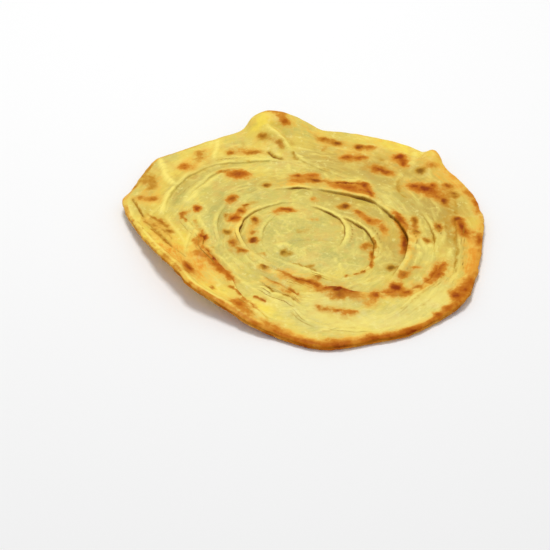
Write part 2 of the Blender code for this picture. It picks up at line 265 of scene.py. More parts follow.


# ================================================================ ridges and creases off the coil
# Polylines in mm: points, height, half width, mark. Mark: plus is painted shade, minus is a painted highlight.
FOLDS = (
    # left rim: soft folds with painted highlights, and painted shade in the valleys between them
    (((-87.0, 64.0), (-86.0, 56.0), (-86.6, 46.0)), -0.5, 3.4, 0.16),
    (((-78.0, 74.0), (-75.4, 65.0), (-72.6, 57.0)), -0.7, 2.2, 0.26),
    (((-68.4, 58.6), (-63.0, 64.4), (-56.4, 69.6), (-49.0, 72.0)), -0.5, 2.4, 0.22),
    (((-71.0, 46.0), (-73.0, 38.0), (-73.6, 30.0)), -0.7, 2.4, 0.30),
    (((-58.4, 62.0), (-51.0, 66.6), (-44.0, 69.6)), -0.3, 2.0, 0.18),
    (((-41.0, 79.0), (-34.0, 78.0), (-27.0, 78.2)), 0.4, 1.2, -0.5),
    (((-44.0, 88.0), (-38.0, 90.0), (-30.0, 88.4)), 0.3, 1.2, -0.3),
    (((-84.0, 74.0), (-82.0, 66.0), (-79.4, 58.0), (-76.0, 52.6), (-73.0, 49.0)), 1.3, 1.8, -1.2),
    (((-73.6, 49.0), (-76.4, 41.6), (-78.6, 32.0), (-79.6, 22.0)), 1.1, 1.7, -0.95),
    (((-70.6, 56.0), (-66.4, 62.2), (-61.0, 68.4), (-57.6, 72.4)), 0.7, 1.7, -0.5),
    (((-53.0, 75.6), (-51.8, 82.0), (-51.0, 88.0), (-50.6, 94.0)), 1.0, 1.5, -0.95),
    (((-60.4, 47.4), (-55.4, 51.4), (-53.0, 56.4), (-48.4, 60.8), (-43.4, 62.2)), 0.6, 1.4, -0.55),
    (((-66.4, 33.4), (-64.0, 38.4), (-61.8, 43.4), (-60.8, 47.0)), 0.7, 2.2, -0.7),
    (((-92.0, 52.0), (-91.0, 44.0), (-92.6, 36.0)), -0.5, 1.6, 0.12),
    # left tip: layers of dough ending in a fan of thin lines
    (((-97.4, 37.0), (-94.6, 29.6), (-91.4, 22.6), (-88.0, 16.0)), -0.9, 0.9, 0.75),
    (((-99.0, 27.0), (-96.6, 18.0), (-92.8, 9.0), (-89.0, 2.0)), 0.5, 1.5, -0.6),
    (((-88.4, 14.0), (-83.6, 7.6), (-78.6, 2.2), (-74.4, -3.0), (-70.8, -9.6)), -0.8, 1.0, 0.55),
    (((-86.0, 15.6), (-80.0, 10.0), (-75.4, 3.4), (-71.6, -3.4)), 0.5, 1.3, -0.2),
    (((-76.8, 20.6), (-73.4, 12.6), (-69.2, 6.0), (-65.8, 0.0), (-62.6, -4.6)), 0.7, 1.4, -0.5),
    (((-91.0, 0.0), (-85.4, -8.6), (-79.0, -17.6), (-72.6, -26.0), (-66.4, -34.4)), -0.6, 1.2, 0.3),
    (((-78.6, -1.0), (-76.0, -6.0), (-72.8, -11.6)), -0.4, 1.0, 0.3),
    (((-69.8, -9.6), (-66.6, -12.8), (-62.2, -16.6)), -0.5, 1.0, 0.45),
    (((-70.4, -14.0), (-67.0, -17.6), (-64.6, -21.6)), -0.35, 1.0, 0.25),
    # painted highlights on the raised edges beside the browned streaks
    (((-59.6, 24.0), (-56.8, 15.6), (-53.6, 8.4), (-51.6, 1.6)), 0.6, 1.2, -0.5),
    (((-54.6, -3.4), (-50.0, -8.4), (-44.4, -16.6), (-39.4, -22.4), (-34.4, -29.4)), 0.6, 1.3, -0.5),
    (((-35.6, -30.6), (-30.8, -36.6), (-25.0, -42.2), (-18.0, -48.0), (-11.0, -54.6)), 0.6, 1.5, -0.55),
    (((-37.0, -41.6), (-31.0, -48.6), (-26.0, -54.6), (-20.0, -60.6), (-13.6, -66.6)), 0.6, 1.4, -0.35),
    (((-22.0, -42.0), (-16.0, -46.2), (-10.0, -49.2), (-6.0, -52.0)), 0.35, 1.0, -0.5),
    (((-17.0, -40.6), (-11.6, -43.4), (-6.0, -47.0), (-2.4, -50.4)), 0.35, 1.0, -0.45),
    (((-26.0, -16.6), (-22.6, -21.6), (-17.0, -23.4)), 0.3, 1.2, -0.4),
    # back curl: its fold, the hollow behind it and the crack in front of it
    (((-22.0, 99.0), (-15.6, 94.6), (-10.2, 89.4), (-7.2, 84.6)), 1.5, 1.7, -0.8),
    (((-5.6, 82.6), (-3.0, 79.6), (-0.4, 76.8)), 0.8, 1.2, -0.5),
    (((-20.6, 102.0), (-13.0, 96.6), (-7.6, 91.6), (-4.4, 87.0)), -1.4, 2.6, 0.22),
    (((-20.4, 84.6), (-19.6, 81.8), (-17.0, 79.2), (-14.0, 77.9), (-10.6, 77.2)), -1.0, 0.9, 0.85),
    (((-16.6, 81.0), (-12.4, 80.4)), 0.6, 2.0, -0.5),
    (((-6.2, 84.0), (-4.2, 79.8), (-2.0, 77.0)), -0.9, 1.2, 0.4),
    (((-8.8, 77.0), (-8.6, 71.0), (-8.0, 65.0)), 0.4, 1.4, -0.35),
    (((-37.4, 94.4), (-35.2, 92.0), (-35.2, 88.4)), -0.5, 1.2, 0.3),
    (((8.4, 104.0), (8.0, 96.0), (9.0, 88.0), (12.0, 80.0)), -0.7, 2.6, 0.12),
    # back right: folds of the rim
    (((57.6, 66.6), (55.6, 60.0), (53.6, 52.6)), 0.7, 1.6, -0.45),
    (((57.4, 60.0), (55.4, 53.0), (57.0, 46.0), (61.4, 39.6)), -0.8, 1.9, 0.25),
    (((66.0, 88.0), (65.6, 79.0), (62.6, 70.6)), 0.8, 1.9, -0.5),
    (((73.6, 68.0), (74.4, 60.0)), 0.5, 1.6, -0.4),
    (((42.4, 94.0), (44.4, 90.0)), 0.4, 1.4, -0.4),
    (((44.0, 53.0), (50.0, 47.0), (56.0, 40.6), (60.0, 36.6)), -0.35, 1.2, 0.22),
    (((47.6, 44.0), (49.0, 36.0), (48.0, 28.0)), 0.45, 2.6, -0.35),
    (((80.4, 84.0), (77.0, 76.0), (72.0, 66.0)), 0.9, 3.0, -0.3),
    # the folded corner of the toasted ply at the back, and ridges beside the spots there
    (((16.0, 58.0), (25.0, 57.4), (34.0, 56.6), (39.0, 53.4), (41.6, 48.6)), 0.5, 1.1, -0.55),
    (((61.6, 79.6), (62.6, 75.0), (61.6, 70.6)), 0.5, 1.1, -0.6),
    (((13.4, 56.0), (14.2, 60.0), (12.4, 64.0)), 0.4, 1.1, -0.45),
    (((46.0, 95.0), (46.0, 90.6), (43.6, 88.4)), 0.4, 1.0, -0.35),
    (((22.4, 56.6), (30.0, 50.6), (36.0, 44.0)), 0.25, 1.2, 0.0),
    (((78.6, 18.0), (79.2, 13.4), (78.0, 9.0)), 0.35, 0.8, -0.6),
    (((66.6, 22.0), (66.0, 16.0), (66.8, 10.0)), 0.35, 0.9, -0.5),
    (((60.6, 20.0), (60.4, 14.0), (61.6, 8.0)), 0.3, 0.8, -0.45),
    (((68.0, 8.6), (66.0, 4.0), (67.0, -2.0), (68.6, -8.0)), 0.5, 1.3, -0.65),
    (((62.0, 4.6), (62.6, -1.0), (61.0, -7.0)), 0.4, 1.0, -0.5),
    (((72.6, -8.0), (71.0, -14.0), (67.0, -20.0)), 0.4, 1.3, -0.5),
    (((42.6, -2.0), (42.6, -10.0), (41.4, -18.0)), 0.35, 1.3, -0.4),
    (((44.6, -29.4), (40.6, -34.4), (36.0, -38.0)), 0.35, 1.1, -0.5),
    (((86.4, 2.0), (85.6, -8.0), (84.8, -18.0), (83.0, -28.0)), -0.5, 0.9, 0.4),
    (((82.4, -10.0), (81.0, -20.0), (78.6, -28.0)), -0.3, 0.8, 0.25),
    # right: blisters with painted highlights, in a row between the creases
    (((62.4, -3.0), (65.0, -6.6)), 0.55, 1.6, -0.75),
    (((70.6, -1.6), (70.8, -5.2)), 0.45, 1.5, -0.7),
    (((64.6, -9.6), (64.0, -14.6), (61.6, -19.6)), 0.55, 1.3, -0.75),
    (((78.4, 20.0), (79.6, 13.0), (78.8, 6.0), (76.8, 0.0)), 0.5, 1.3, -0.45),
    (((81.6, -4.0), (80.6, -12.0)), 0.5, 1.7, -0.45),
    (((79.0, -20.6), (76.0, -29.0), (69.6, -36.8), (62.0, -43.6)), 0.5, 1.6, -0.35),
    (((88.6, 36.0), (87.0, 28.0), (86.6, 20.0)), -0.5, 1.4, 0.25),
    # front rim
    (((39.0, -79.8), (45.6, -77.8), (52.0, -75.2), (58.0, -72.6), (63.6, -70.2)), -0.9, 0.9, 0.85),
    (((82.0, -38.6), (84.4, -43.0), (87.6, -46.6)), 0.5, 1.1, -0.5),
    (((79.0, -48.0), (83.0, -52.0)), -0.4, 1.0, 0.3),
    # the eye: a faint S fold and brush-like strokes of painted highlight
    (((-6.4, -9.6), (-7.2, -4.4), (-5.0, -1.0), (0.6, 0.2), (7.0, 0.4), (14.0, -0.2), (20.6, -0.4)), -0.35, 0.8, 0.25),
    (((-14.6, -5.6), (-9.4, -4.6), (-5.6, -6.6)), 0.4, 1.8, -0.6),
    (((20.4, -20.6), (20.8, -26.0)), 0.35, 0.9, -0.7),
    (((18.6, -16.0), (18.0, -20.0)), 0.25, 0.9, -0.4),
    (((-16.0, 10.0), (-13.0, 5.0), (-9.6, 2.6)), 0.3, 1.2, -0.35),
    (((-9.0, 10.6), (-6.4, 6.4)), 0.25, 1.2, -0.3),
    (((22.6, 15.0), (23.2, 9.0)), 0.25, 1.0, -0.5),
)


def line_distance(x, y, points):
    """Distance from a polyline, and the share of the way along it."""
    pts = np.asarray(points, float)
    lengths = np.hypot(*np.diff(pts, axis=0).T)
    total, start = lengths.sum(), 0.0
    best, along = np.full(np.shape(x), 1e9), np.zeros(np.shape(x))
    for (ax, ay), (bx, by), length in zip(pts[:-1], pts[1:], lengths):
        t = np.clip(((x - ax) * (bx - ax) + (y - ay) * (by - ay)) / length**2, 0.0, 1.0)
        d = np.hypot(x - ax - t * (bx - ax), y - ay - t * (by - ay))
        closer = d < best
        best = np.where(closer, d, best)
        along = np.where(closer, (start + t * length) / total, along)
        start += length
    return best, along


def fold_mark(x, y, points, half):
    bend_x, bend_y = 0.5 * grain(x, y, 4.0, 811), 0.5 * grain(x, y, 4.0, 813)
    d, along = line_distance(x + bend_x, y + bend_y, points)
    ends = smooth(along / 0.14) * smooth((1.0 - along) / 0.14)
    return np.exp(-((d / half) ** 2)) * (0.30 + 0.70 * ends)


# ================================================================ browned spots
# Where a blister touched the griddle: x, y, length, width, angle of the long axis from +X,
# strength, how dark its middle is, and how olive (rather than orange) it browned. Lengths in mm.
SPOTS = (
    # back curl and back left
    (-11, 103.6, 7.5, 5.5, -20, 0.80, 0.25, 0.1), (-15, 107, 10, 4, -15, 0.35, 0.0, 0.0),
    (-24.5, 94, 6.4, 3.8, -25, 0.66, 0.35, 0.6), (-14, 88.6, 5.4, 3.6, -40, 0.55, 0.3, 0.55),
    (-43, 82, 4.4, 4.4, 0, 0.72, 0.35, 0.4), (-29.6, 82.4, 11, 3.8, -3, 0.72, 0.35, 0.45), (-37, 85.6, 17, 7, 0, 0.32, 0.0, 0.0),
    (-69.4, 67.6, 6.6, 5.6, -30, 0.60, 0.25, 0.0), (-67, 67, 13, 8, -10, 0.28, 0.0, 0.0), (-61, 79, 13, 6.9, 88, 0.58, 0.05, 0.4),
    (-87, 51, 15, 5.4, 86, 0.60, 0.12, 0.6), (-91, 56, 11, 5, 70, 0.40, 0.05, 0.6),
    (-85.6, 35.6, 6.6, 4.4, 5, 0.58, 0.22, 0.4), (-92.6, 36.8, 4.6, 3.0, -50, 0.42, 0.22, 0.5), (-89, 36, 16, 6, 0, 0.26, 0.0, 0.0),
    (-38, 63, 10.5, 6.8, 0, 0.98, 0.45, 0.0), (-36, 60.6, 15, 9, 0, 0.35, 0.0, 0.0), (-48, 64, 8, 3.4, 25, 0.35, 0.1, 0.3),
    # left
    (-59.5, 29.3, 6.4, 4.2, 100, 0.9, 0.5, 0.0), (-65, 25, 6, 4, 80, 0.3, 0.0, 0.0),
    (-74, 6, 4.0, 3.4, 0, 0.56, 0.35, 0.7),
    (-54.6, 2.2, 5.2, 4.8, -50, 0.9, 0.6, 0.0), (-58.4, -2, 5.5, 4, 0, 0.30, 0.05, 0.2),
    (-56, -12.2, 9, 6, -30, 0.42, 0.0, 0.0),
    (-44.4, -24.8, 15, 4.4, -50, 0.62, 0.1, 0.0), (-38.4, -32, 8, 3.6, -65, 0.50, 0.1, 0.0), (-48, -21, 6, 3.4, -60, 0.45, 0.15, 0.0),
    (-61, -28.4, 13.5, 5.6, 100, 0.95, 0.4, 0.0), (-47.6, -42, 6.5, 3, 92, 0.58, 0.22, 0.3),
    (-33.4, -55, 9, 6, -55, 0.75, 0.15, 0.0), (-29.6, -60.4, 12, 6.8, -48, 0.36, 0.0, 0.0),
    (-15, -71, 14, 6, -28, 0.42, 0.0, 0.0), (-9, -76, 15, 5, -24, 0.36, 0.0, 0.0), (-30, -63.6, 12, 5, -40, 0.35, 0.0, 0.0),
    (16, -81.6, 26, 5, 0, 0.45, 0.1, 0.0), (20, -84.6, 12, 4.4, 0, 0.8, 0.45, 0.0), (3, -82, 10, 3, -12, 0.5, 0.2, 0.0),
    (-39, -12, 16, 8, -30, 0.14, 0.0, 1.0), (-28, 13, 12, 8, 90, 0.14, 0.0, 0.6),
    (56, 6, 16, 8, 90, 0.16, 0.0, 0.5),
    # coil, left
    (-41.3, 36.8, 8.6, 5.4, 80, 0.7, 0.15, 0.05), (-39.4, 38, 5.6, 3.2, 60, 0.75, 0.55, 0.4), (-21, 51, 4.8, 4.8, 0, 0.68, 0.6, 0.7),
    (-38, 18.6, 6.4, 6, 30, 0.92, 0.5, 0.0), (-35, 24.6, 4.8, 4.2, 30, 0.72, 0.4, 0.2), (-31.5, 30, 3.8, 3.2, 20, 0.65, 0.5, 0.5),
    (-36.6, 21.6, 20, 5, 62, 0.20, 0.0, 0.0), (-43.4, 22, 5.4, 2.6, 97, 0.58, 0.45, 0.8), (-42, 5.6, 6.4, 3.6, -60, 0.68, 0.45, 0.8),
    (-38, -4, 7.4, 4.2, -60, 0.78, 0.4, 0.3), (-33, -10.6, 6.4, 3.2, -25, 0.78, 0.35, 0.2), (-26.4, 17, 6.2, 4.6, 95, 0.78, 0.65, 0.4),
    (-27, 6, 4, 3.8, 0, 0.58, 0.35, 0.3), (-27, -1.4, 5.6, 5, 0, 0.82, 0.8, 0.3), (-8.4, 27, 9.4, 4.2, -12, 0.98, 0.6, 0.1),
    (-14, 24.6, 9, 5, 22, 0.5, 0.05, 0.0), (7, 18.5, 5.4, 4.2, 0, 0.42, 0.08, 0.0), (-1, 7.6, 4.6, 3.8, 0, 0.36, 0.0, 0.9),
    (4, 9.6, 6, 4, 20, 0.26, 0.0, 0.6), (6.6, 38, 5.4, 5, 60, 0.5, 0.05, 0.0), (-9.4, -11, 5.4, 4.4, 60, 0.62, 0.42, 1.0),
    (-6.6, -13, 3.4, 2.6, 60, 0.45, 0.2, 1.0), (-21, -13, 4.4, 3, -30, 0.36, 0.12, 0.5), (-20, -25, 5.4, 3.2, -35, 0.72, 0.5, 0.7),
    (-9.4, -29, 8, 3.0, -38, 0.45, 0.1, 0.1), (3, -36, 11, 3.6, -22, 0.62, 0.35, 0.2), (9.4, -33, 4.0, 2.8, 0, 0.6, 0.4, 0.4),
    (5, -23, 4, 3.2, 0, 0.36, 0.15, 0.8), (8, -38, 9, 4, -30, 0.5, 0.0, 0.0), (-48, -7.4, 5.4, 2.2, -45, 0.3, 0.1, 1.0),
    (-30, 43.5, 5.4, 3, 10, 0.26, 0.1, 0.9), (-27.4, 33.6, 5.4, 3, 20, 0.28, 0.12, 0.9), (-33, -35, 5, 3, -40, 0.2, 0.0, 1.0),
    # coil, back
    (-3.4, 60.6, 4.8, 3.6, 0, 0.66, 0.45, 0.2), (5, 61.4, 8.4, 5.6, 0, 0.70, 0.15, 0.0), (7.6, 56, 9.4, 3, -18, 0.82, 0.75, 0.4),
    (-3.4, 55.2, 10, 3.6, 0, 0.5, 0.12, 0.1), (-1, 59.4, 24, 10, 0, 0.24, 0.0, 0.0),
    (28, 48.4, 19, 7, -20, 0.82, 0.05, 0.0), (25.6, 54.2, 20, 2.0, -4, 0.95, 0.75, 0.3), (35.6, 52.0, 5.4, 3.6, -42, 0.92, 0.6, 0.0),
    (38.4, 44, 12, 3.2, -70, 0.80, 0.45, 0.0), (35, 46, 6, 6, 0, 0.35, 0.0, 0.0), (20, 50.4, 9, 4.4, -14, 0.5, 0.0, 0.0), (24, 31.4, 5.8, 5, 20, 0.84, 0.65, 0.5),
    (20.6, 30.4, 4, 3.4, 0, 0.45, 0.15, 0.5), (31.0, 26, 5.6, 4.0, -40, 0.62, 0.35, 0.2), (34.6, 22, 7, 4, -48, 0.5, 0.1, 0.1),
    (38, 17, 5.8, 5.0, -60, 0.66, 0.28, 0.1), (35, 21.4, 20, 7, -48, 0.18, 0.0, 0.0), (45.2, 11.6, 7.0, 4.4, 95, 0.60, 0.25, 0.1),
    (43, 18, 5, 3.6, -30, 0.45, 0.0, 0.0), (46, 4, 7.4, 4.6, 90, 0.26, 0.04, 0.0), (54.6, 19, 14.5, 4.2, -67, 0.95, 0.32, 0.0),
    (57.0, 0.6, 18, 4.2, 92, 0.95, 0.85, 0.0), (55.4, -7, 6, 4, 80, 0.55, 0.1, 0.0), (35, -5.4, 7.6, 5, 60, 0.72, 0.3, 0.3),
    (48.5, -22.8, 6.4, 4.2, 15, 0.82, 0.6, 0.9), (33.2, -27, 3, 2, 40, 0.6, 0.4, 0.4), (29.8, -29.6, 3, 2, 30, 0.6, 0.4, 0.4), (24, -31, 3, 1.8, 0, 0.5, 0.3, 0.4),
    # right
    (63, 19.6, 7.4, 3.2, 95, 0.68, 0.35, 0.6), (63, 12, 11, 3.2, 92, 0.42, 0.0, 0.0), (64, 8, 3.6, 3.4, 0, 0.68, 0.5, 0.7),
    (69, 1.6, 6, 4.2, 90, 0.68, 0.4, 0.5), (75.8, 14.2, 8.0, 3.8, 95, 0.86, 0.6, 0.3),
    (64.4, 53, 7.4, 4.4, 0, 0.85, 0.5, 0.1), (70.4, 51, 8, 5.6, -25, 0.95, 0.8, 0.0), (75, 54.4, 5, 3.4, 60, 0.7, 0.35, 0.0),
    (69, 51, 19, 8, -6, 0.50, 0.0, 0.0), (76.6, 44.4, 11, 3.4, -50, 0.62, 0.2, 0.0), (80.8, 38.8, 6.4, 4.0, -68, 0.95, 0.85, 0.2), (73, 46, 10, 8, -30, 0.30, 0.0, 0.0),
    (83.6, 54, 6.4, 5.6, 0, 0.84, 0.45, 0.2), (86.8, 45.4, 5.2, 4.6, 90, 0.74, 0.42, 0.6), (77, 45, 15, 10, -20, 0.30, 0.0, 0.2), (94.4, 47, 13, 3.4, -64, 0.5, 0.15, 0.0),
    (86.8, 21.8, 5.4, 4.4, 0, 0.88, 0.7, 0.2), (89.0, 14.2, 15, 4.6, -82, 1.0, 0.55, 0.0), (90.2, 9.4, 6.4, 5, -84, 0.85, 0.35, 0.0), (97.6, 4, 10, 4.0, 86, 0.8, 0.3, 0.0),
    (98.4, 30, 16, 3, -84, 0.4, 0.0, 0.0),
    (82, 28, 28, 10, 92, 0.26, 0.0, 1.0), (30, 72, 34, 11, 0, 0.20, 0.0, 0.9), (46, 70, 16, 14, 0, 0.16, 0.0, 0.8),
    (84, 8, 20, 8, 92, 0.16, 0.0, 1.0), (72, 74, 14, 8, -50, 0.18, 0.0, 0.3),
    # back right
    (12.4, 98.6, 5.4, 3.8, -30, 0.55, 0.3, 0.4), (20, 95.6, 6.4, 4.4, -8, 0.80, 0.7, 0.5), (16, 97, 15, 5.4, -16, 0.42, 0.0, 0.3),
    (33, 92.2, 6.2, 4.2, 0, 0.86, 0.7, 0.4), (39.4, 91.8, 7, 3.6, -4, 0.62, 0.3, 0.2), (36.4, 90, 14, 7, 0, 0.22, 0.0, 0.0),
    (26, 81, 7.0, 4.6, 0, 0.78, 0.45, 0.15), (34.0, 81.2, 7, 4.4, 0, 0.68, 0.35, 0.15), (30, 81.4, 17, 6.4, 0, 0.38, 0.0, 0.0),
    (46.4, 80, 5, 3.4, 90, 0.34, 0.25, 1.0), (57.0, 82, 7.8, 6.0, 0, 0.95, 0.6, 0.0), (58.8, 76, 10, 3.6, -72, 0.85, 0.4, 0.0), (58, 79, 8, 5, -70, 0.5, 0.3, 0.0),
    (47, 67.6, 12, 4.8, -23, 0.92, 0.55, 0.0), (44, 69, 6, 4.4, -20, 0.55, 0.2, 0.0), (42, 73, 5, 4.4, -20, 0.25, 0.1, 0.0),
    (68, 67, 5.2, 4.6, 0, 0.72, 0.55, 0.9), (75.6, 70, 6, 4.4, 0, 0.38, 0.1, 0.0),
    # front
    (20, -43.2, 8.4, 4.4, -10, 0.95, 0.95, 0.0), (28, -45, 7.4, 3.0, -4, 0.90, 0.8, 0.0), (13, -42.2, 11, 3.4, 8, 0.55, 0.1, 0.0),
    (20, -47.4, 5, 5, 90, 0.7, 0.4, 0.4), (28, -48, 5, 3.4, 0, 0.5, 0.15, 0.4), (39.5, -45.6, 6.4, 4.2, 95, 0.90, 0.4, 0.0),
    (35.6, -52.6, 11, 9, 0, 0.36, 0.0, 0.0), (50.4, -38.6, 7.4, 6.8, 0, 1.0, 0.8, 0.0), (48.4, -43.4, 11, 6, 0, 0.62, 0.1, 0.0),
    (56.2, -42.8, 5.6, 4.4, 35, 0.72, 0.35, 0.0), (62, -38, 5.4, 4.4, 20, 0.78, 0.45, 0.2), (67.4, -33, 4.6, 3.4, 40, 0.5, 0.2, 0.0),
    (73, -25, 18, 7.6, 68, 0.46, 0.0, 0.0), (74, -24, 12, 6, 70, 0.3, 0.0, 0.0),
    (77.2, -19.6, 7, 2.4, 70, 0.6, 0.25, 0.0), (74.4, -29.4, 6, 2.6, 60, 0.55, 0.25, 0.0), (55, -29, 8.4, 3.8, 38, 0.72, 0.3, 0.1),
    (62, -23, 7, 4.2, 30, 0.45, 0.1, 0.0), (14, -57, 12, 4.0, -7, 0.32, 0.05, 0.3), (24, -59, 10.5, 4.2, -8, 0.40, 0.05, 0.0), (13, -57.4, 2.6, 2.0, 0, 0.5, 0.4, 0.3), (19.5, -58, 3, 2.2, 0, 0.5, 0.4, 0.2), (27, -59.4, 3.4, 2.2, 0, 0.5, 0.4, 0.0), (22, -61.4, 3, 1.8, 0, 0.4, 0.3, 0.0),
    (9, -55, 4, 2.8, -20, 0.5, 0.3, 0.2), (82, -45, 8.6, 5.2, -70, 0.95, 0.45, 0.0), (87, -38, 13, 5.4, 68, 0.68, 0.12, 0.0),
    (90, -32, 15, 4, 76, 0.55, 0.1, 0.0), (77, -55, 7, 4.2, 22, 0.62, 0.1, 0.0), (71.6, -59, 4.4, 3.8, 0, 0.72, 0.3, 0.0),
    (46, -76.4, 22, 4.6, 17, 0.72, 0.05, 0.0), (58, -71.6, 13, 3.6, 24, 0.72, 0.1, 0.0), (36, -78.6, 8, 5, 10, 0.6, 0.1, 0.0),
)

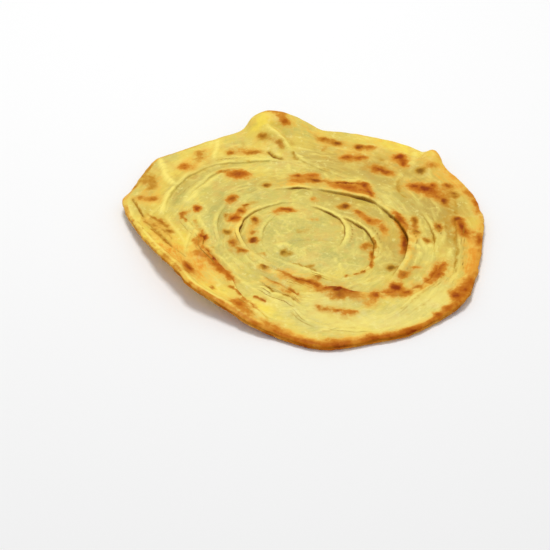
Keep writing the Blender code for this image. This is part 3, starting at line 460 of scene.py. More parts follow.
# Browned streaks along the edges of plies and folds: points, half width, strength, how dark, how olive.
STREAKS = (
    # front left: the ends of several plies
    (((-20.6, -32.6), (-14.0, -37.0), (-8.0, -41.0), (-2.6, -44.8), (0.4, -48.6)), 0.9, 0.75, 0.30, 0.3),
    (((-17.0, -37.6), (-10.4, -42.2), (-4.6, -46.4), (-0.6, -50.4)), 1.7, 0.34, 0.0, 0.0),
    (((-22.0, -39.0), (-18.4, -41.0), (-14.8, -44.2), (-9.4, -46.8), (-5.2, -50.0), (-2.2, -52.8)), 0.8, 0.80, 0.35, 1.0),
    (((-42.4, -36.8), (-38.4, -40.0), (-35.0, -44.0), (-31.0, -49.4), (-27.6, -54.0), (-24.0, -58.4), (-19.6, -62.4)), 0.9, 0.58, 0.20, 0.35),
    (((-14.6, -25.6), (-10.4, -29.0), (-5.4, -32.6), (0.0, -35.0), (5.0, -36.8), (9.4, -39.6)), 1.2, 0.80, 0.45, 0.15),
    (((-4.0, -34.8), (3.0, -38.2), (9.0, -41.0)), 1.4, 0.28, 0.0, 0.0),
    (((-25.6, -46.6), (-21.6, -49.4), (-17.8, -52.4)), 1.0, 0.80, 0.50, 0.15),
    (((-54.4, -6.4), (-51.2, -10.8), (-48.4, -16.0), (-46.0, -20.4)), 1.0, 1.0, 0.80, 0.0),
    (((-58.6, 0.0), (-57.0, -6.0), (-54.6, -12.0), (-50.0, -18.0)), 2.4, 0.42, 0.0, 0.0),
    (((-47.4, -19.6), (-43.4, -25.0), (-39.4, -31.0), (-36.2, -38.0)), 1.8, 0.38, 0.05, 0.0),
    (((-5.4, -19.8), (0.0, -23.0), (5.0, -25.8), (10.0, -28.2)), 1.2, 0.50, 0.15, 1.0),
    (((4.6, -20.6), (4.2, -24.0)), 1.2, 0.40, 0.20, 0.8),
    (((-30.0, -20.6), (-26.0, -25.0), (-23.0, -31.0)), 1.0, 0.08, 0.0, 1.0),
    (((-12.0, -30.6), (-7.0, -34.6), (-2.0, -38.4)), 1.3, 0.22, 0.0, 0.0),
    (((-30.6, -48.6), (-26.0, -54.6), (-20.6, -61.0)), 1.6, 0.36, 0.0, 0.0),
    (((-13.6, -48.0), (-9.0, -51.0), (-5.0, -54.6)), 2.0, 0.16, 0.0, 0.5),
    # left tip
    (((-96.4, 34.6), (-93.8, 27.6), (-91.2, 22.0), (-88.6, 16.6)), 0.7, 0.62, 0.25, 0.7),
    (((-89.6, 24.0), (-85.0, 19.0), (-80.0, 14.6), (-75.0, 9.6)), 0.7, 0.46, 0.12, 0.7),
    (((-88.0, 10.0), (-82.4, 4.0), (-77.0, -2.0), (-72.6, -8.4)), 0.7, 0.46, 0.12, 0.6),
    (((-84.6, 12.6), (-79.0, 7.4), (-74.0, 1.6), (-70.6, -4.0)), 0.6, 0.34, 0.06, 0.7),
    (((-93.0, 12.0), (-88.6, 5.0), (-84.0, -1.6), (-79.4, -9.0)), 0.7, 0.34, 0.08, 0.6),
    (((-92.4, 19.6), (-88.4, 13.4), (-84.4, 8.2), (-80.4, 3.4)), 1.3, 0.44, 0.10, 0.45),
    (((-86.0, 18.0), (-82.6, 11.0), (-81.0, 5.6), (-80.4, 2.0)), 2.4, 0.30, 0.15, 0.4),
    (((-79.4, 3.0), (-75.6, -2.8), (-72.6, -8.0), (-70.0, -12.8)), 0.9, 0.56, 0.22, 0.5),
    (((-84.4, 19.0), (-80.4, 16.6), (-76.8, 13.6)), 1.6, 0.72, 0.45, 0.4),
    (((-78.0, 13.6), (-74.6, 8.4), (-71.4, 3.0)), 1.8, 0.46, 0.05, 0.4),
    (((-98.6, 16.0), (-95.0, 8.0), (-91.6, 0.6)), 1.2, 0.40, 0.15, 0.3),
    (((-89.4, -6.6), (-86.2, -12.0), (-82.4, -18.0), (-78.6, -22.4)), 0.8, 0.85, 0.50, 0.4),
    (((-61.0, 20.0), (-59.2, 14.0), (-57.0, 8.6), (-54.6, 3.6)), 1.2, 0.62, 0.30, 0.25),
    (((-68.6, 26.6), (-67.2, 20.6), (-64.8, 15.0)), 1.5, 0.75, 0.40, 0.35),
    (((-66.4, -9.6), (-64.4, -13.0), (-64.8, -17.4)), 1.2, 0.30, 0.10, 0.8),
    (((-84.6, -6.0), (-78.6, -15.0), (-72.6, -24.0), (-66.6, -33.0), (-61.6, -40.6)), 2.0, 0.26, 0.0, 0.35),
    # back curl
    (((-20.8, 84.4), (-19.6, 81.4), (-17.4, 79.0), (-14.0, 78.0), (-10.6, 77.4)), 0.8, 0.72, 0.30, 1.0),
    (((-6.2, 84.0), (-5.0, 80.4), (-3.6, 77.0)), 1.2, 0.52, 0.20, 1.0),
    (((-38.6, 95.4), (-35.8, 92.0), (-35.4, 88.0)), 1.2, 0.22, 0.0, 1.0),
    (((-41.6, 73.6), (-36.0, 74.0), (-30.0, 75.0), (-24.0, 75.4)), 0.9, 0.32, 0.0, 1.0),
    (((-20.6, 102.4), (-12.6, 96.4), (-7.4, 91.4), (-4.8, 87.0)), 1.8, 0.22, 0.0, 0.9),
    (((-28.0, 98.4), (-22.0, 93.6), (-15.6, 89.4), (-10.6, 84.0)), 1.6, 0.24, 0.0, 0.7),
    (((11.4, 93.0), (12.4, 86.0), (13.8, 79.0)), 1.8, 0.30, 0.0, 0.6),
    (((7.6, 104.0), (8.4, 96.0), (8.8, 88.0)), 1.4, 0.18, 0.0, 0.3),
    (((9.0, 71.0), (13.0, 68.0), (17.0, 64.6)), 1.4, 0.30, 0.05, 1.0),
    (((-27.0, 108.6), (-18.0, 109.6), (-9.0, 109.8)), 1.6, 0.34, 0.0, 0.2),
    # right side of the coil
    (((38.6, -7.0), (38.6, -14.0), (38.0, -20.0), (36.6, -25.4)), 1.3, 0.78, 0.28, 0.15),
    (((39.4, 3.0), (39.8, -3.0), (39.6, -9.0)), 0.7, 0.65, 0.45, 0.7),
    (((85.4, 9.0), (85.0, 0.0), (85.8, -6.0), (84.0, -14.0), (82.6, -24.0), (82.0, -32.0)), 0.9, 0.42, 0.12, 1.0),
    (((72.2, 13.0), (73.2, 5.0), (73.2, -2.4)), 0.8, 0.50, 0.20, 1.0),
    (((56.6, 62.0), (54.6, 54.0), (56.0, 46.6), (60.0, 40.0)), 1.2, 0.34, 0.05, 1.0),
    (((60.6, 38.0), (66.0, 31.0), (69.6, 23.0)), 1.2, 0.24, 0.0, 1.0),
    (((64.0, 24.0), (62.8, 18.0), (62.2, 11.6)), 1.0, 0.46, 0.15, 0.6),
    (((79.6, 24.0), (81.0, 12.0), (80.6, 0.0), (79.0, -10.0)), 1.0, 0.18, 0.0, 1.0),
    (((86.4, 42.0), (87.6, 34.0), (87.0, 27.0)), 1.1, 0.34, 0.05, 0.9),
    (((97.6, 52.0), (98.6, 42.0), (98.8, 32.0)), 1.3, 0.46, 0.1, 0.0),
    (((95.6, 12.0), (96.6, 4.0), (95.6, -5.0)), 1.4, 0.18, 0.0, 0.0),
    # front
    (((11.0, -41.8), (15.6, -40.6), (20.6, -41.4), (25.0, -43.6), (30.4, -44.8)), 0.8, 0.92, 0.95, 0.0),
    (((4.0, -43.0), (10.0, -45.6), (17.0, -48.6), (25.0, -50.0)), 2.0, 0.28, 0.0, 0.2),
    (((44.0, -79.0), (50.0, -76.6), (57.0, -73.2), (62.4, -70.8)), 0.8, 0.85, 0.60, 0.0),
    (((44.6, -62.6), (54.0, -55.0), (62.0, -47.0), (70.0, -38.0), (76.4, -29.6)), 0.7, 0.26, 0.0, 1.0),
    (((52.0, -63.0), (62.0, -54.6), (71.0, -45.0), (78.4, -35.6)), 0.7, 0.22, 0.0, 1.0),
    (((-8.6, -58.6), (0.0, -64.0), (10.0, -68.8), (20.0, -70.8), (32.0, -71.6)), 1.8, 0.24, 0.0, 1.0),
    (((66.6, -36.0), (69.0, -31.0), (71.6, -24.6), (74.0, -18.4)), 0.8, 0.62, 0.25, 0.0),
    (((69.4, -35.4), (72.4, -29.6), (75.4, -23.0), (77.6, -17.4)), 0.8, 0.62, 0.25, 0.0),
    (((82.4, -48.6), (86.0, -43.0), (88.6, -36.0)), 1.2, 0.62, 0.25, 0.0),
    (((76.0, -56.0), (81.0, -51.6), (85.0, -47.0)), 1.0, 0.55, 0.15, 0.0),
    (((12.0, -62.6), (22.0, -64.6), (33.0, -65.0)), 1.6, 0.14, 0.0, 0.6),
)

# Broad warm areas, from peach to orange: x, y, length, width, angle, amount.
TOASTED = (
    (-28, 6, 30, 7, 95, 0.34), (-39, 16, 30, 8, 85, 0.22), (-5, 54, 38, 8, 3, 0.26), (-15, 26, 22, 8, 35, 0.22),
    (-2, -30, 34, 8, -28, 0.28), (-7, -40, 24, 6, -38, 0.16), (20, -45, 34, 8, -5, 0.22), (37, -50, 14, 12, 0, 0.22),
    (50, -41, 20, 12, 20, 0.28), (62, -37, 14, 8, 40, 0.28), (73, -26, 24, 14, 68, 0.38), (34, 24, 30, 8, -46, 0.24),
    (46, 8, 22, 7, 90, 0.24), (63, 12, 26, 6, 92, 0.28), (26, 48, 32, 13, -20, 0.32), (68, 52, 32, 17, -10, 0.34),
    (80, 40, 16, 10, -60, 0.16), (90, 12, 32, 9, 96, 0.28), (20, -57, 26, 7, -6, 0.14), (-37, 62, 20, 12, 0, 0.26),
    (-36, 83, 30, 10, 0, 0.26), (-68, 68, 16, 14, 0, 0.28), (-60, 79, 18, 12, 80, 0.34), (-87, 48, 30, 13, 84, 0.36),
    (-88, 35, 18, 9, 0, 0.34), (-80, 9, 28, 14, -45, 0.42), (-56, 4, 24, 7, -62, 0.24), (-53, -12, 22, 9, -56, 0.34),
    (-42, -27, 22, 8, -50, 0.20), (-60, -24, 34, 20, -60, 0.52), (-74, -14, 30, 12, -56, 0.38), (-46, -48, 32, 12, -35, 0.18), (-28, -61, 26, 10, -40, 0.22),
    (-12, -73, 24, 8, -24, 0.30), (16, 96, 20, 12, 0, 0.32), (32, 87, 28, 18, 0, 0.28), (57, 80, 20, 14, 90, 0.34),
    (46, 68, 18, 10, -25, 0.22), (76, 71, 24, 12, -52, 0.34), (89, 56, 20, 12, -62, 0.34), (96, 28, 28, 9, -84, 0.14),
    (94, -6, 26, 10, 90, 0.42), (92, -22, 22, 10, 80, 0.42), (86, -42, 24, 12, 68, 0.46), (-10, 105, 24, 8, 0, 0.34),
    (7, 104, 14, 10, 0, 0.20), (-25, 93, 18, 9, -30, 0.22), (45, 98, 26, 10, -28, 0.22),
)

# Plain dough: plus is yellower, minus is greener. Same columns.
YELLOW = (
    (-80, 44, 50, 8, 84, 0.34), (-51, 84, 24, 7, 82, 0.34), (-42, 95, 34, 8, 22, 0.16), (-82, 74, 26, 14, 52, -0.34), (-91, 10, 34, 12, -62, 0.36),
    (-72, -2, 26, 12, -56, 0.50), (-74, -23, 44, 6, -57, 0.65), (-19, -56, 26, 10, -44, 0.62), (-50, -42, 28, 12, -36, 0.40),
    (79, 78, 18, 9, -55, 0.55), (70, 86, 34, 12, -46, 0.40), (-40, 94, 26, 12, 30, -0.25), (1, 96, 16, 26, 0, -0.10), (54, 95, 32, 9, -32, 0.36), (-24, 104, 20, 8, 20, 0.36), (95, 17, 14, 8, 90, 0.60),
    (60, -50, 26, 12, 38, 0.16), (12, -64, 36, 8, -5, 0.20), (-66, 2, 20, 7, -50, 0.40), (40, -66, 30, 8, 15, 0.14),
    (-47, 22, 44, 11, 92, -0.45), (-30, 44, 42, 15, 24, -0.25), (-62, 54, 44, 13, 52, -0.36), (30, 68, 52, 14, 0, -0.25),
    (62, 32, 34, 20, 90, -0.14), (80, 25, 30, 10, 92, -0.16), (30, 0, 30, 14, 90, -0.14), (10, -10, 30, 26, 0, -0.12),
    (-31, -27, 22, 12, -38, 0.22), (35, -62, 60, 9, 10, -0.14), (0, -64, 26, 8, -32, -0.30), (66, -45, 34, 9, 45, -0.20),
    (-16, 74, 40, 8, 0, -0.25), (-72, 40, 26, 8, 70, -0.30),
)

# Paler, creamier dough. Same columns.
CREAM = (
    (20, -62, 56, 11, -3, 0.46), (60, -52, 40, 14, 42, 0.44), (34, -69, 52, 9, 8, 0.48), (-9, -54, 30, 7, -34, 0.34),
    (12, -51, 26, 8, 0, 0.50), (6, -18, 30, 14, -10, 0.22), (50, 36, 26, 9, -62, 0.26), (80, -22, 30, 6, 74, 0.30),
    (-14, 70, 24, 10, 0, 0.18), (-76, 66, 18, 6, 60, 0.22), (-30, 40, 26, 5, 30, 0.16), (-96, 22, 14, 8, 60, 0.30),
    (72, -50, 26, 10, 42, 0.36), (-33, -40, 26, 5, -45, 0.26), (-51, 12, 30, 4, -65, 0.26), (68, -8, 18, 10, 80, 0.24),
)

# A darker olive tan in broad stretches that follow the plies: partly the dough's deeper baked tone, partly
# painted shade in the hollows and beside the plies. Same columns.
TAN_AND_SHADE = (
    # painted shade in the hollow behind the coil, from the foot of the back curl to the right corner
    (33, 76, 62, 25, -8, 0.80), (61, 55, 50, 27, -46, 0.74), (17, 90, 36, 17, 82, 0.46),
    # the outer ply down the right side
    (81, 35, 62, 25, 100, 0.86), (87, 4, 56, 17, 90, 0.60),
    # the plies on the right of the eye
    (22, 39, 44, 17, -24, 0.62), (35, 17, 44, 19, -58, 0.60), (45, -4, 42, 14, 92, 0.50),
    (59, -3, 46, 13, 86, 0.50),
    # painted shade in the hollow behind the left of the coil
    (-20, 54, 40, 14, 16, 0.42), (-51, 72, 40, 13, 38, 0.34), (-68, 56, 50, 10, 56, 0.48),
    # left rim and left tip
    (-88, 49, 36, 11, 80, 0.46), (-80, 11, 34, 15, -50, 0.62), (-66, -15, 20, 9, -46, 0.28),
    # left and front plies of the coil
    (-46, 22, 42, 7, 92, 0.24), (-32, 1, 40, 7, -72, 0.28), (-12, -39, 30, 9, -38, 0.34),
    (31, -49, 24, 8, 4, 0.20),
)

# How browned the very edge is, every 20 degrees, and how far in that reaches (mm).
EDGE_TOAST = (0.50, 0.36, 0.32, 0.20, 0.14, 0.22, 0.10, 0.30, 0.30, 0.20, 0.18, 0.45, 0.90, 1.00, 1.00, 0.80, 0.55, 0.65)
EDGE_REACH = (4.0, 4.0, 4.5, 3.0, 2.6, 3.5, 2.2, 2.2, 2.2, 2.0, 1.6, 2.4, 3.2, 4.2, 5.4, 4.6, 4.2, 5.0)

FLAKES = 90
# How dark the rounded side of the rim is, every 20 degrees: griddle char, with painted shade on its lower part that is
# strongest at the front left; and how brown its outline on top.
EDGE_CHAR_AND_SHADE = (0.38, 0.28, 0.25, 0.10, 0.12, 0.12, 0.20, 0.30, 0.38, 0.50, 0.62, 0.84, 0.80, 0.82, 0.88, 0.70, 0.60, 0.50)
EDGE_LINE = (0.38, 0.30, 0.22, 0.10, 0.15, 0.20, 0.26, 0.50, 0.50, 0.40, 0.50, 0.70, 0.70, 0.80, 0.90, 0.80, 0.70, 0.55)

UNDER_PATCHES = 46          # brown patches of the side that lay on the griddle


def patch(x, y, cx, cy, along, across, angle, power=2.0):
    """A soft elongated patch: 1 in its middle, 0 away from it."""
    way = math.radians(angle)
    u = (x - cx) * math.cos(way) + (y - cy) * math.sin(way)
    v = -(x - cx) * math.sin(way) + (y - cy) * math.cos(way)
    return np.exp(-(((u / along) ** 2 + (v / across) ** 2) ** (power / 2.0)))


# ================================================================ the top face
def top_relief(r, deg):
    """Relief of the top over the plain slab, the inward shift that makes lips overhang, and the marks: painted shade,
    toast and painted highlights.
    """
    x, y = r * np.cos(np.radians(deg)), r * np.sin(np.radians(deg))
    R = rim_radius(deg)
    shift, dark, toast, crest = (np.zeros(r.shape) for _ in range(4))

    # the dough's own unevenness, and fine overlapping layers left by rolling the coil out
    z = 0.50 * layered(x, y, 19.0, 5) + 0.22 * layered(x, y, 6.5, 17)
    ring = along_ring(r, deg, 3.0, 15.0, 33)
    flake = along_ring(r, deg, 1.6, 15.0, 37)
    z += smooth((r - 4.0) / 12.0) * (0.20 * ring + 0.07 * (1.0 - 2.0 * np.abs(flake)))
    fold = 1.0 - 2.0 * np.abs(layered(x + 1.2 * grain(x, y, 9.0, 711), y, 9.0, 713, 2))
    crinkle = 1.0 - 2.0 * np.abs(layered(x, y + 0.8 * grain(x, y, 6.0, 717), 4.6, 719, 2))
    z += 0.26 * np.maximum(fold, 0.0) ** 3 + 0.15 * np.maximum(crinkle, 0.0) ** 3
    # painted highlights along the sharpest crumples
    ridge_here = smooth(0.5 + 1.6 * grain(x, y, 12.0, 723))
    crest = np.maximum(crest, ridge_here * (0.34 * smooth((fold - 0.68) / 0.32) + 0.14 * smooth((crinkle - 0.70) / 0.30)))

    for k, seam in enumerate(SEAMS):
        d, on, way = seam_distance(k, r, deg)
        step = seam["step"] * LIFT
        on = on * (1.0 + 0.26 * grain(way, 0.0 * way + 7.0 * k, 7.0, 91))
        up = smooth((d + 0.35) / 0.8)
        out, inside = np.maximum(d, 0.0), np.maximum(-d, 0.0)
        ply = up * np.exp(-((out / seam["run"]) ** 1.35)) - 0.46 * (1.0 - up) * np.exp(-inside / 3.8)
        lip = np.exp(-(((d - 1.3) / 1.2) ** 2))
        groove = np.exp(-(((d + 0.30) / 0.36) ** 2))
        z += on * step * (0.74 * ply + 0.15 * lip - 0.20 * groove)
        shift += on * step * 0.30 * np.exp(-(((d - 0.45) / 0.55) ** 2))
        # thinner layers of the same ply end a little further out, here and there, with a line of painted shade at each
        # end
        for offset, seed in ((2.3, 61), (4.1, 67)):
            thin = smooth(2.2 * grain(way, 0.0 * way + 5.0 * k, 9.0, seed)) * on
            e = d - offset - 0.4 * grain(way, 0.0 * way + 5.0 * k, 6.0, seed + 2)
            z += 0.30 * thin * smooth((e + 0.25) / 0.5) * np.exp(-np.maximum(e, 0.0) / 2.4)
            dark = np.maximum(dark, 0.72 * thin * np.exp(-(((e + 0.05) / 0.40) ** 2)))
        # painted shade: a dark line in the crevice and a softer shade on the lower ply beside it; a painted highlight
        # on the outer ply's lip
        dark = np.maximum(dark, on * seam["dark"] * np.exp(-(((d + 0.10) / 0.50) ** 2)))
        dark = np.maximum(dark, 0.40 * on * seam["dark"] * np.exp(-inside / 2.2) * (d < 0.0))
        toast = np.maximum(toast, on * seam["toast"] * np.exp(-(((d - 2.1) / 2.4) ** 2)))
        crest = np.maximum(crest, on * min(step, 1.3) * 0.8 * np.exp(-(((d - 1.4) / 1.1) ** 2)))

    # flakes: short ends of thin layers, lying along the coil, with painted shade at their ends and painted highlights
    # just beyond
    rng = np.random.RandomState(4711)
    for _ in range(FLAKES):
        at, start = rng.uniform(0, 360), 10.0 + 88.0 * math.sqrt(rng.uniform(0.0, 1.0))
        length, slope = rng.uniform(7.0, 24.0), rng.uniform(-0.10, 0.22)
        high, side = rng.uniform(0.16, 0.42), (1.0 if rng.rand() < 0.7 else -1.0)
        bend, tint = rng.uniform(-0.012, 0.012), rng.uniform(0.2, 1.0)
        way = np.radians(turn(deg, at)) * start
        close = (np.abs(way) < length) & (np.abs(r - start) < 16.0) & (r < R - 5.0)
        if not close.any():
            continue
        w, q = way[close], r[close]
        d = side * (q - start - slope * w - bend * w * w - 0.5 * grain(w, 0.0 * w + start, 4.0, 71))
        on = smooth(1.6 * (1.0 - np.abs(w) / length))
        z[close] += on * high * (smooth((d + 0.25) / 0.5) * np.exp(-np.maximum(d, 0.0) / 2.6) - 0.35 * np.exp(-(((d + 0.4) / 0.4) ** 2)))
        dark[close] = np.maximum(dark[close], 0.42 * tint * on * np.exp(-(((d + 0.15) / 0.42) ** 2)))
        crest[close] = np.maximum(crest[close], 0.66 * tint * on * np.exp(-(((d - 1.0) / 1.0) ** 2)))

    for points, high, half, mark in FOLDS:
        there = fold_mark(x, y, points, half)
        z += high * there
        # plus marks paint shade in the valley, minus marks paint a highlight on the ridge
        if mark > 0:
            dark = np.maximum(dark, mark * there**1.4)
        else:
            crest = np.maximum(crest, -1.35 * mark * there)

    # blisters: under the browned spots, with a painted highlight ringing many of them, and many small ones with painted
    # highlights on their tops
    for cx, cy, length, width, angle, strength, _, _ in SPOTS:
        if width < 7.0:
            z += 0.40 * strength * patch(x, y, cx, cy, length * 0.60, width * 0.72, angle)
            way = math.radians(angle)
            u = (x - cx) * math.cos(way) + (y - cy) * math.sin(way)
            v = -(x - cx) * math.sin(way) + (y - cy) * math.cos(way)
            q = np.hypot(u / (length * 0.5 + 2.2), v / (width * 0.5 + 2.2))
            ring_on = smooth(0.15 + 1.5 * grain(x + 3.0 * cx, y, 7.0, 731))
            crest = np.maximum(crest, 0.42 * strength * ring_on * np.exp(-(((q - 1.15) / 0.16) ** 2)))
    rng = np.random.RandomState(2024)
    for _ in range(240):
        a, rad = math.radians(rng.uniform(0, 360)), 100.0 * math.sqrt(rng.uniform(0.004, 0.92))
        size, high = rng.uniform(0.8, 2.2), rng.uniform(0.10, 0.34) * (1.0 if rng.rand() > 0.12 else 1.7)
        there = patch(x, y, rad * math.cos(a), rad * math.sin(a), size * rng.uniform(1.0, 1.9), size, math.degrees(a) + 90 + rng.uniform(-35, 35), 2.4)
        z += high * there
        crest = np.maximum(crest, 1.2 * high * there)

    # a thin raised lip round the rim, stronger on the curled front-left side, with a painted highlight on it and
    # painted shade in the dip inside it
    curled = np.exp(-((turn(deg, 212.0) / 34.0) ** 2))
    away = R - EDGE_ROUND - r
    wave = 1.0 + 0.35 * grain(x, y, 9.0, 351)
    z += wave * (0.30 + 0.60 * curled) * np.exp(-(((away - 0.8 - 0.9 * curled) / 1.6) ** 2))
    z -= wave * (0.18 + 0.45 * curled) * np.exp(-(((away - 4.8) / 2.2) ** 2))
    crest = np.maximum(crest, (0.05 + 1.55 * curled) * wave * np.exp(-(((away - 1.9) / 1.1) ** 2)))
    dark = np.maximum(dark, 0.36 * curled * wave * np.exp(-(((away - 4.4) / 1.1) ** 2)))
    outline = rim_outline(x, y, deg, away)
    crest = crest * (1.0 - 0.9 * np.clip(outline, 0.0, 1.0))
    return z, shift, dark, toast, crest


def rim_outline(x, y, deg, away):
    """The thin brown line that the griddle left along the very edge."""
    return round_stations(EDGE_LINE, deg) * (0.75 + 0.5 * grain(x, y, 6.0, 355)) * np.exp(-((np.maximum(away, 0.0) / 0.9) ** 2))


def top_height(r, deg, relief):
    R = rim_radius(deg)
    near_edge = 0.35 + 0.65 * smooth((R - r) / 6.0)
    return rise(r, deg) + thickness(r, deg) + near_edge * relief


# ================================================================ the mesh
COLUMNS = 576
TOP_RINGS = 124             # between the eye and the rim, crowded at the seams
EYE_RADIUS = 12.0
EYE_RINGS = ((72, 3.0, 5), (144, 6.0, 5), (288, EYE_RADIUS, 9))
EDGE_RINGS = 20
UNDER_RINGS = ((576, 0.965, 3), (288, 0.55, 17), (144, 0.16, 12), (72, 0.0, 4))


def crowded_radii(deg):
    """Ring radii for each column: closer together where a seam or the rim needs them."""
    R = rim_radius(deg) - EDGE_ROUND
    share = np.linspace(0.0, 1.0, 900)[:, None]
    r = EYE_RADIUS + share * (R - EYE_RADIUS)[None, :]
    a = np.broadcast_to(deg[None, :], r.shape)
    need = np.full(r.shape, 1.0)
    for k, seam in enumerate(SEAMS):
        d, on, _ = seam_distance(k, r, a)
        need = need + 2.6 * np.minimum(on, 1.0) * min(seam["step"] * 0.8 + 0.1, 1.2) * np.exp(-(((d - 0.2) / 1.5) ** 2))
    need = need + 0.9 * np.exp(-(((R[None, :] - r) / 2.5) ** 2)) + 0.15 * smooth((r - 70) / 20)
    total = np.cumsum(need, axis=0)
    total = (total - total[0]) / (total[-1] - total[0])
    want = np.linspace(0.0, 1.0, TOP_RINGS + 1)
    return np.stack([np.interp(want, total[:, j], r[:, j]) for j in range(r.shape[1])], 1)


def angles(n):
    return np.arange(n) * 360.0 / n


def build_rings():
    """The bread as rings of points from the middle of the top, over the edge, to the middle below.
    Each ring has its angles, radius, height, flat radius for the UV map, side and marks."""
    rings = []

    def top_ring(r, deg):
        relief, shift, dark, toast, crest = top_relief(r, deg)
        z = top_height(r, deg, relief)
        moved = r - shift * smooth((r - 8.0) / 6.0)
        return dict(deg=deg, r=moved, z=z, flat=r, side="top", dark=dark, toast=toast, crest=crest)

    inner = 0.0
    for n, outer, count in EYE_RINGS:
        deg = angles(n)
        radii = np.linspace(inner, outer, count + 1)[1:]
        for radius in radii:
            if n == COLUMNS // 2 and radius == radii[-1]:
                continue
            rings.append(top_ring(np.full(n, radius), deg))
        inner = outer
    deg = angles(COLUMNS)
    radii = crowded_radii(deg)
    grid = np.broadcast_to(deg[None, :], radii.shape)
    all_rings = top_ring(radii, grid)
    for i in range(radii.shape[0]):
        rings.append({key: (value if isinstance(value, str) else value[i]) for key, value in all_rings.items()})

    # the edge: rounded, a little ragged, with the ends of the dough's layers showing as grooves
    last = rings[-1]
    R = rim_radius(deg)
    top_z = last["z"]
    low_z = rise(R - EDGE_ROUND, deg)
    x, y = R * np.cos(np.radians(deg)), R * np.sin(np.radians(deg))
    ragged = 0.42 * layered(x, y, 6.5, 301) + 0.26 * layered(x, y, 2.6, 305)
    cuts = (0.34 + 0.24 * grain(x, y, 12.0, 311), -0.34 + 0.24 * grain(x, y, 15.0, 317))
    gaps = (smooth(0.6 + 1.2 * grain(x, y, 10.0, 319)), smooth(0.5 + 1.2 * grain(x, y, 8.0, 323)))
    reach = (0.80 * layered(x, y, 8.0, 331), 0.80 * layered(x, y, 6.0, 337) - 0.15, 0.80 * layered(x, y, 9.0, 341) - 0.30)
    for j in range(1, EDGE_RINGS):
        a = math.pi * j / EDGE_RINGS
        side = math.cos(a)
        out = EDGE_ROUND * math.sin(a) ** 0.8
        upper, lower = smooth(0.5 + (side - cuts[0]) / 0.20), smooth(0.5 + (cuts[1] - side) / 0.20)
        leaf = upper * reach[0] + (1.0 - upper) * (1.0 - lower) * reach[1] + lower * reach[2]
        split = gaps[0] * np.exp(-(((side - cuts[0]) / 0.12) ** 2)) + 0.9 * gaps[1] * np.exp(-(((side - cuts[1]) / 0.12) ** 2))
        level = low_z + (top_z - low_z) * (side + 1.0) / 2.0
        radius = R - EDGE_ROUND + out * (1.0 + 0.30 * ragged) + (0.7 * ragged + leaf - 0.55 * split) * math.sin(a)
        over = smooth((1.0 + side) / 1.2)
        # painted shade in the splits between the edge's layers; the top's painted highlights carry over onto the edge
        rings.append(dict(deg=deg, r=radius, z=level, flat=R - EDGE_ROUND + 5.0 * j / EDGE_RINGS, side="edge", at=side,
                          dark=0.62 * np.clip(split, 0.0, 1.0) * math.sin(a), toast=last["toast"] * over, crest=last["crest"] * over * 0.5))

    # the underside, flat on its foot
    outer = 1.0
    first = True
    for n, inner_share, count in UNDER_RINGS:
        deg = angles(n)
        R = rim_radius(deg)
        shares = np.linspace(outer, inner_share, count + 1)
        shares = shares if first else shares[1:]
        first = False
        for share in shares:
            if share <= 0.0:
                continue
            r = share * (R - EDGE_ROUND)
            x, y = r * np.cos(np.radians(deg)), r * np.sin(np.radians(deg))
            bump = np.maximum(0.30 * layered(x, y, 13.0, 401) + 0.10 * layered(x, y, 4.0, 407), 0.0)
            swirl = 0.22 * np.maximum(np.sin(r * 0.62 + np.radians(deg)), 0.0) ** 6
            z = rise(r, deg) + (bump + swirl) * smooth((R - r) / 7.0)
            none = np.zeros(n)
            rings.append(dict(deg=deg, r=r, z=z, flat=r, side="under", dark=none, toast=none, crest=none))
        outer = inner_share
    return rings


def centre_shift():
    """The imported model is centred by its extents, so the coil's centre is off the origin."""
    deg = np.arange(0.0, 360.0, 360.0 / 108)
    R = rim_radius(deg)
    x, y = R * np.cos(np.radians(deg)), R * np.sin(np.radians(deg))
    return -(x.min() + x.max()) / 2.0, -(y.min() + y.max()) / 2.0


SHIFT = centre_shift()


def cover(total, more):
    """Lays one soft mark over another without going past 1."""
    return 1.0 - (1.0 - total) * (1.0 - np.clip(more, 0.0, 1.0))


def spot_marks(x, y):
    """Browned spots with wide soft halos, their dark middles, and how olive they are."""
    wx = x + 0.8 * grain(x, y, 3.0, 601) + 0.4 * grain(x, y, 1.4, 603)
    wy = y + 0.8 * grain(x, y, 3.0, 605) + 0.4 * grain(x, y, 1.4, 607)
    spots, cores, olive, weight = (np.zeros(x.shape) for _ in range(4))
    for cx, cy, length, width, angle, strength, dark, green in SPOTS:
        wide = 1.9 if width < 7.0 else 0.6
        halo = patch(x, y, cx, cy, length * 0.58 + wide, width * 0.58 + wide, angle)
        body = patch(wx, wy, cx, cy, length * 0.52, width * 0.54, angle, 2.4)
        mark = np.clip(strength * (0.32 * halo + 0.62 * body), 0.0, 1.0)
        spots = cover(spots, mark)
        cores = np.maximum(cores, dark * patch(wx, wy, cx, cy, length * 0.38, width * 0.40, angle, 2.2))
        olive += green * mark
        weight += mark
    for points, half, strength, dark, green in STREAKS:
        xs, ys = np.array(points).T
        near = (x > xs.min() - 9) & (x < xs.max() + 9) & (y > ys.min() - 9) & (y < ys.max() + 9)
        d, along = line_distance(wx[near], wy[near], points)
        ends = smooth(along / 0.16) * smooth((1.0 - along) / 0.16)
        uneven = 0.80 + 0.45 * grain(x[near] + 5.0 * half, y[near], 4.0, 609)
        soft = strength * (0.25 + 0.75 * ends) * uneven
        mark = np.clip(soft * (0.70 * np.exp(-((d / half) ** 2)) + 0.30 * np.exp(-((d / (half + 1.8)) ** 2))), 0.0, 1.0)
        spots[near] = cover(spots[near], mark)
        cores[near] = np.maximum(cores[near], dark * ends * uneven * np.exp(-((d / (0.75 * half)) ** 2)))
        olive[near] += green * mark
        weight[near] += mark
    return spots, cores, olive / np.maximum(weight, 0.05)


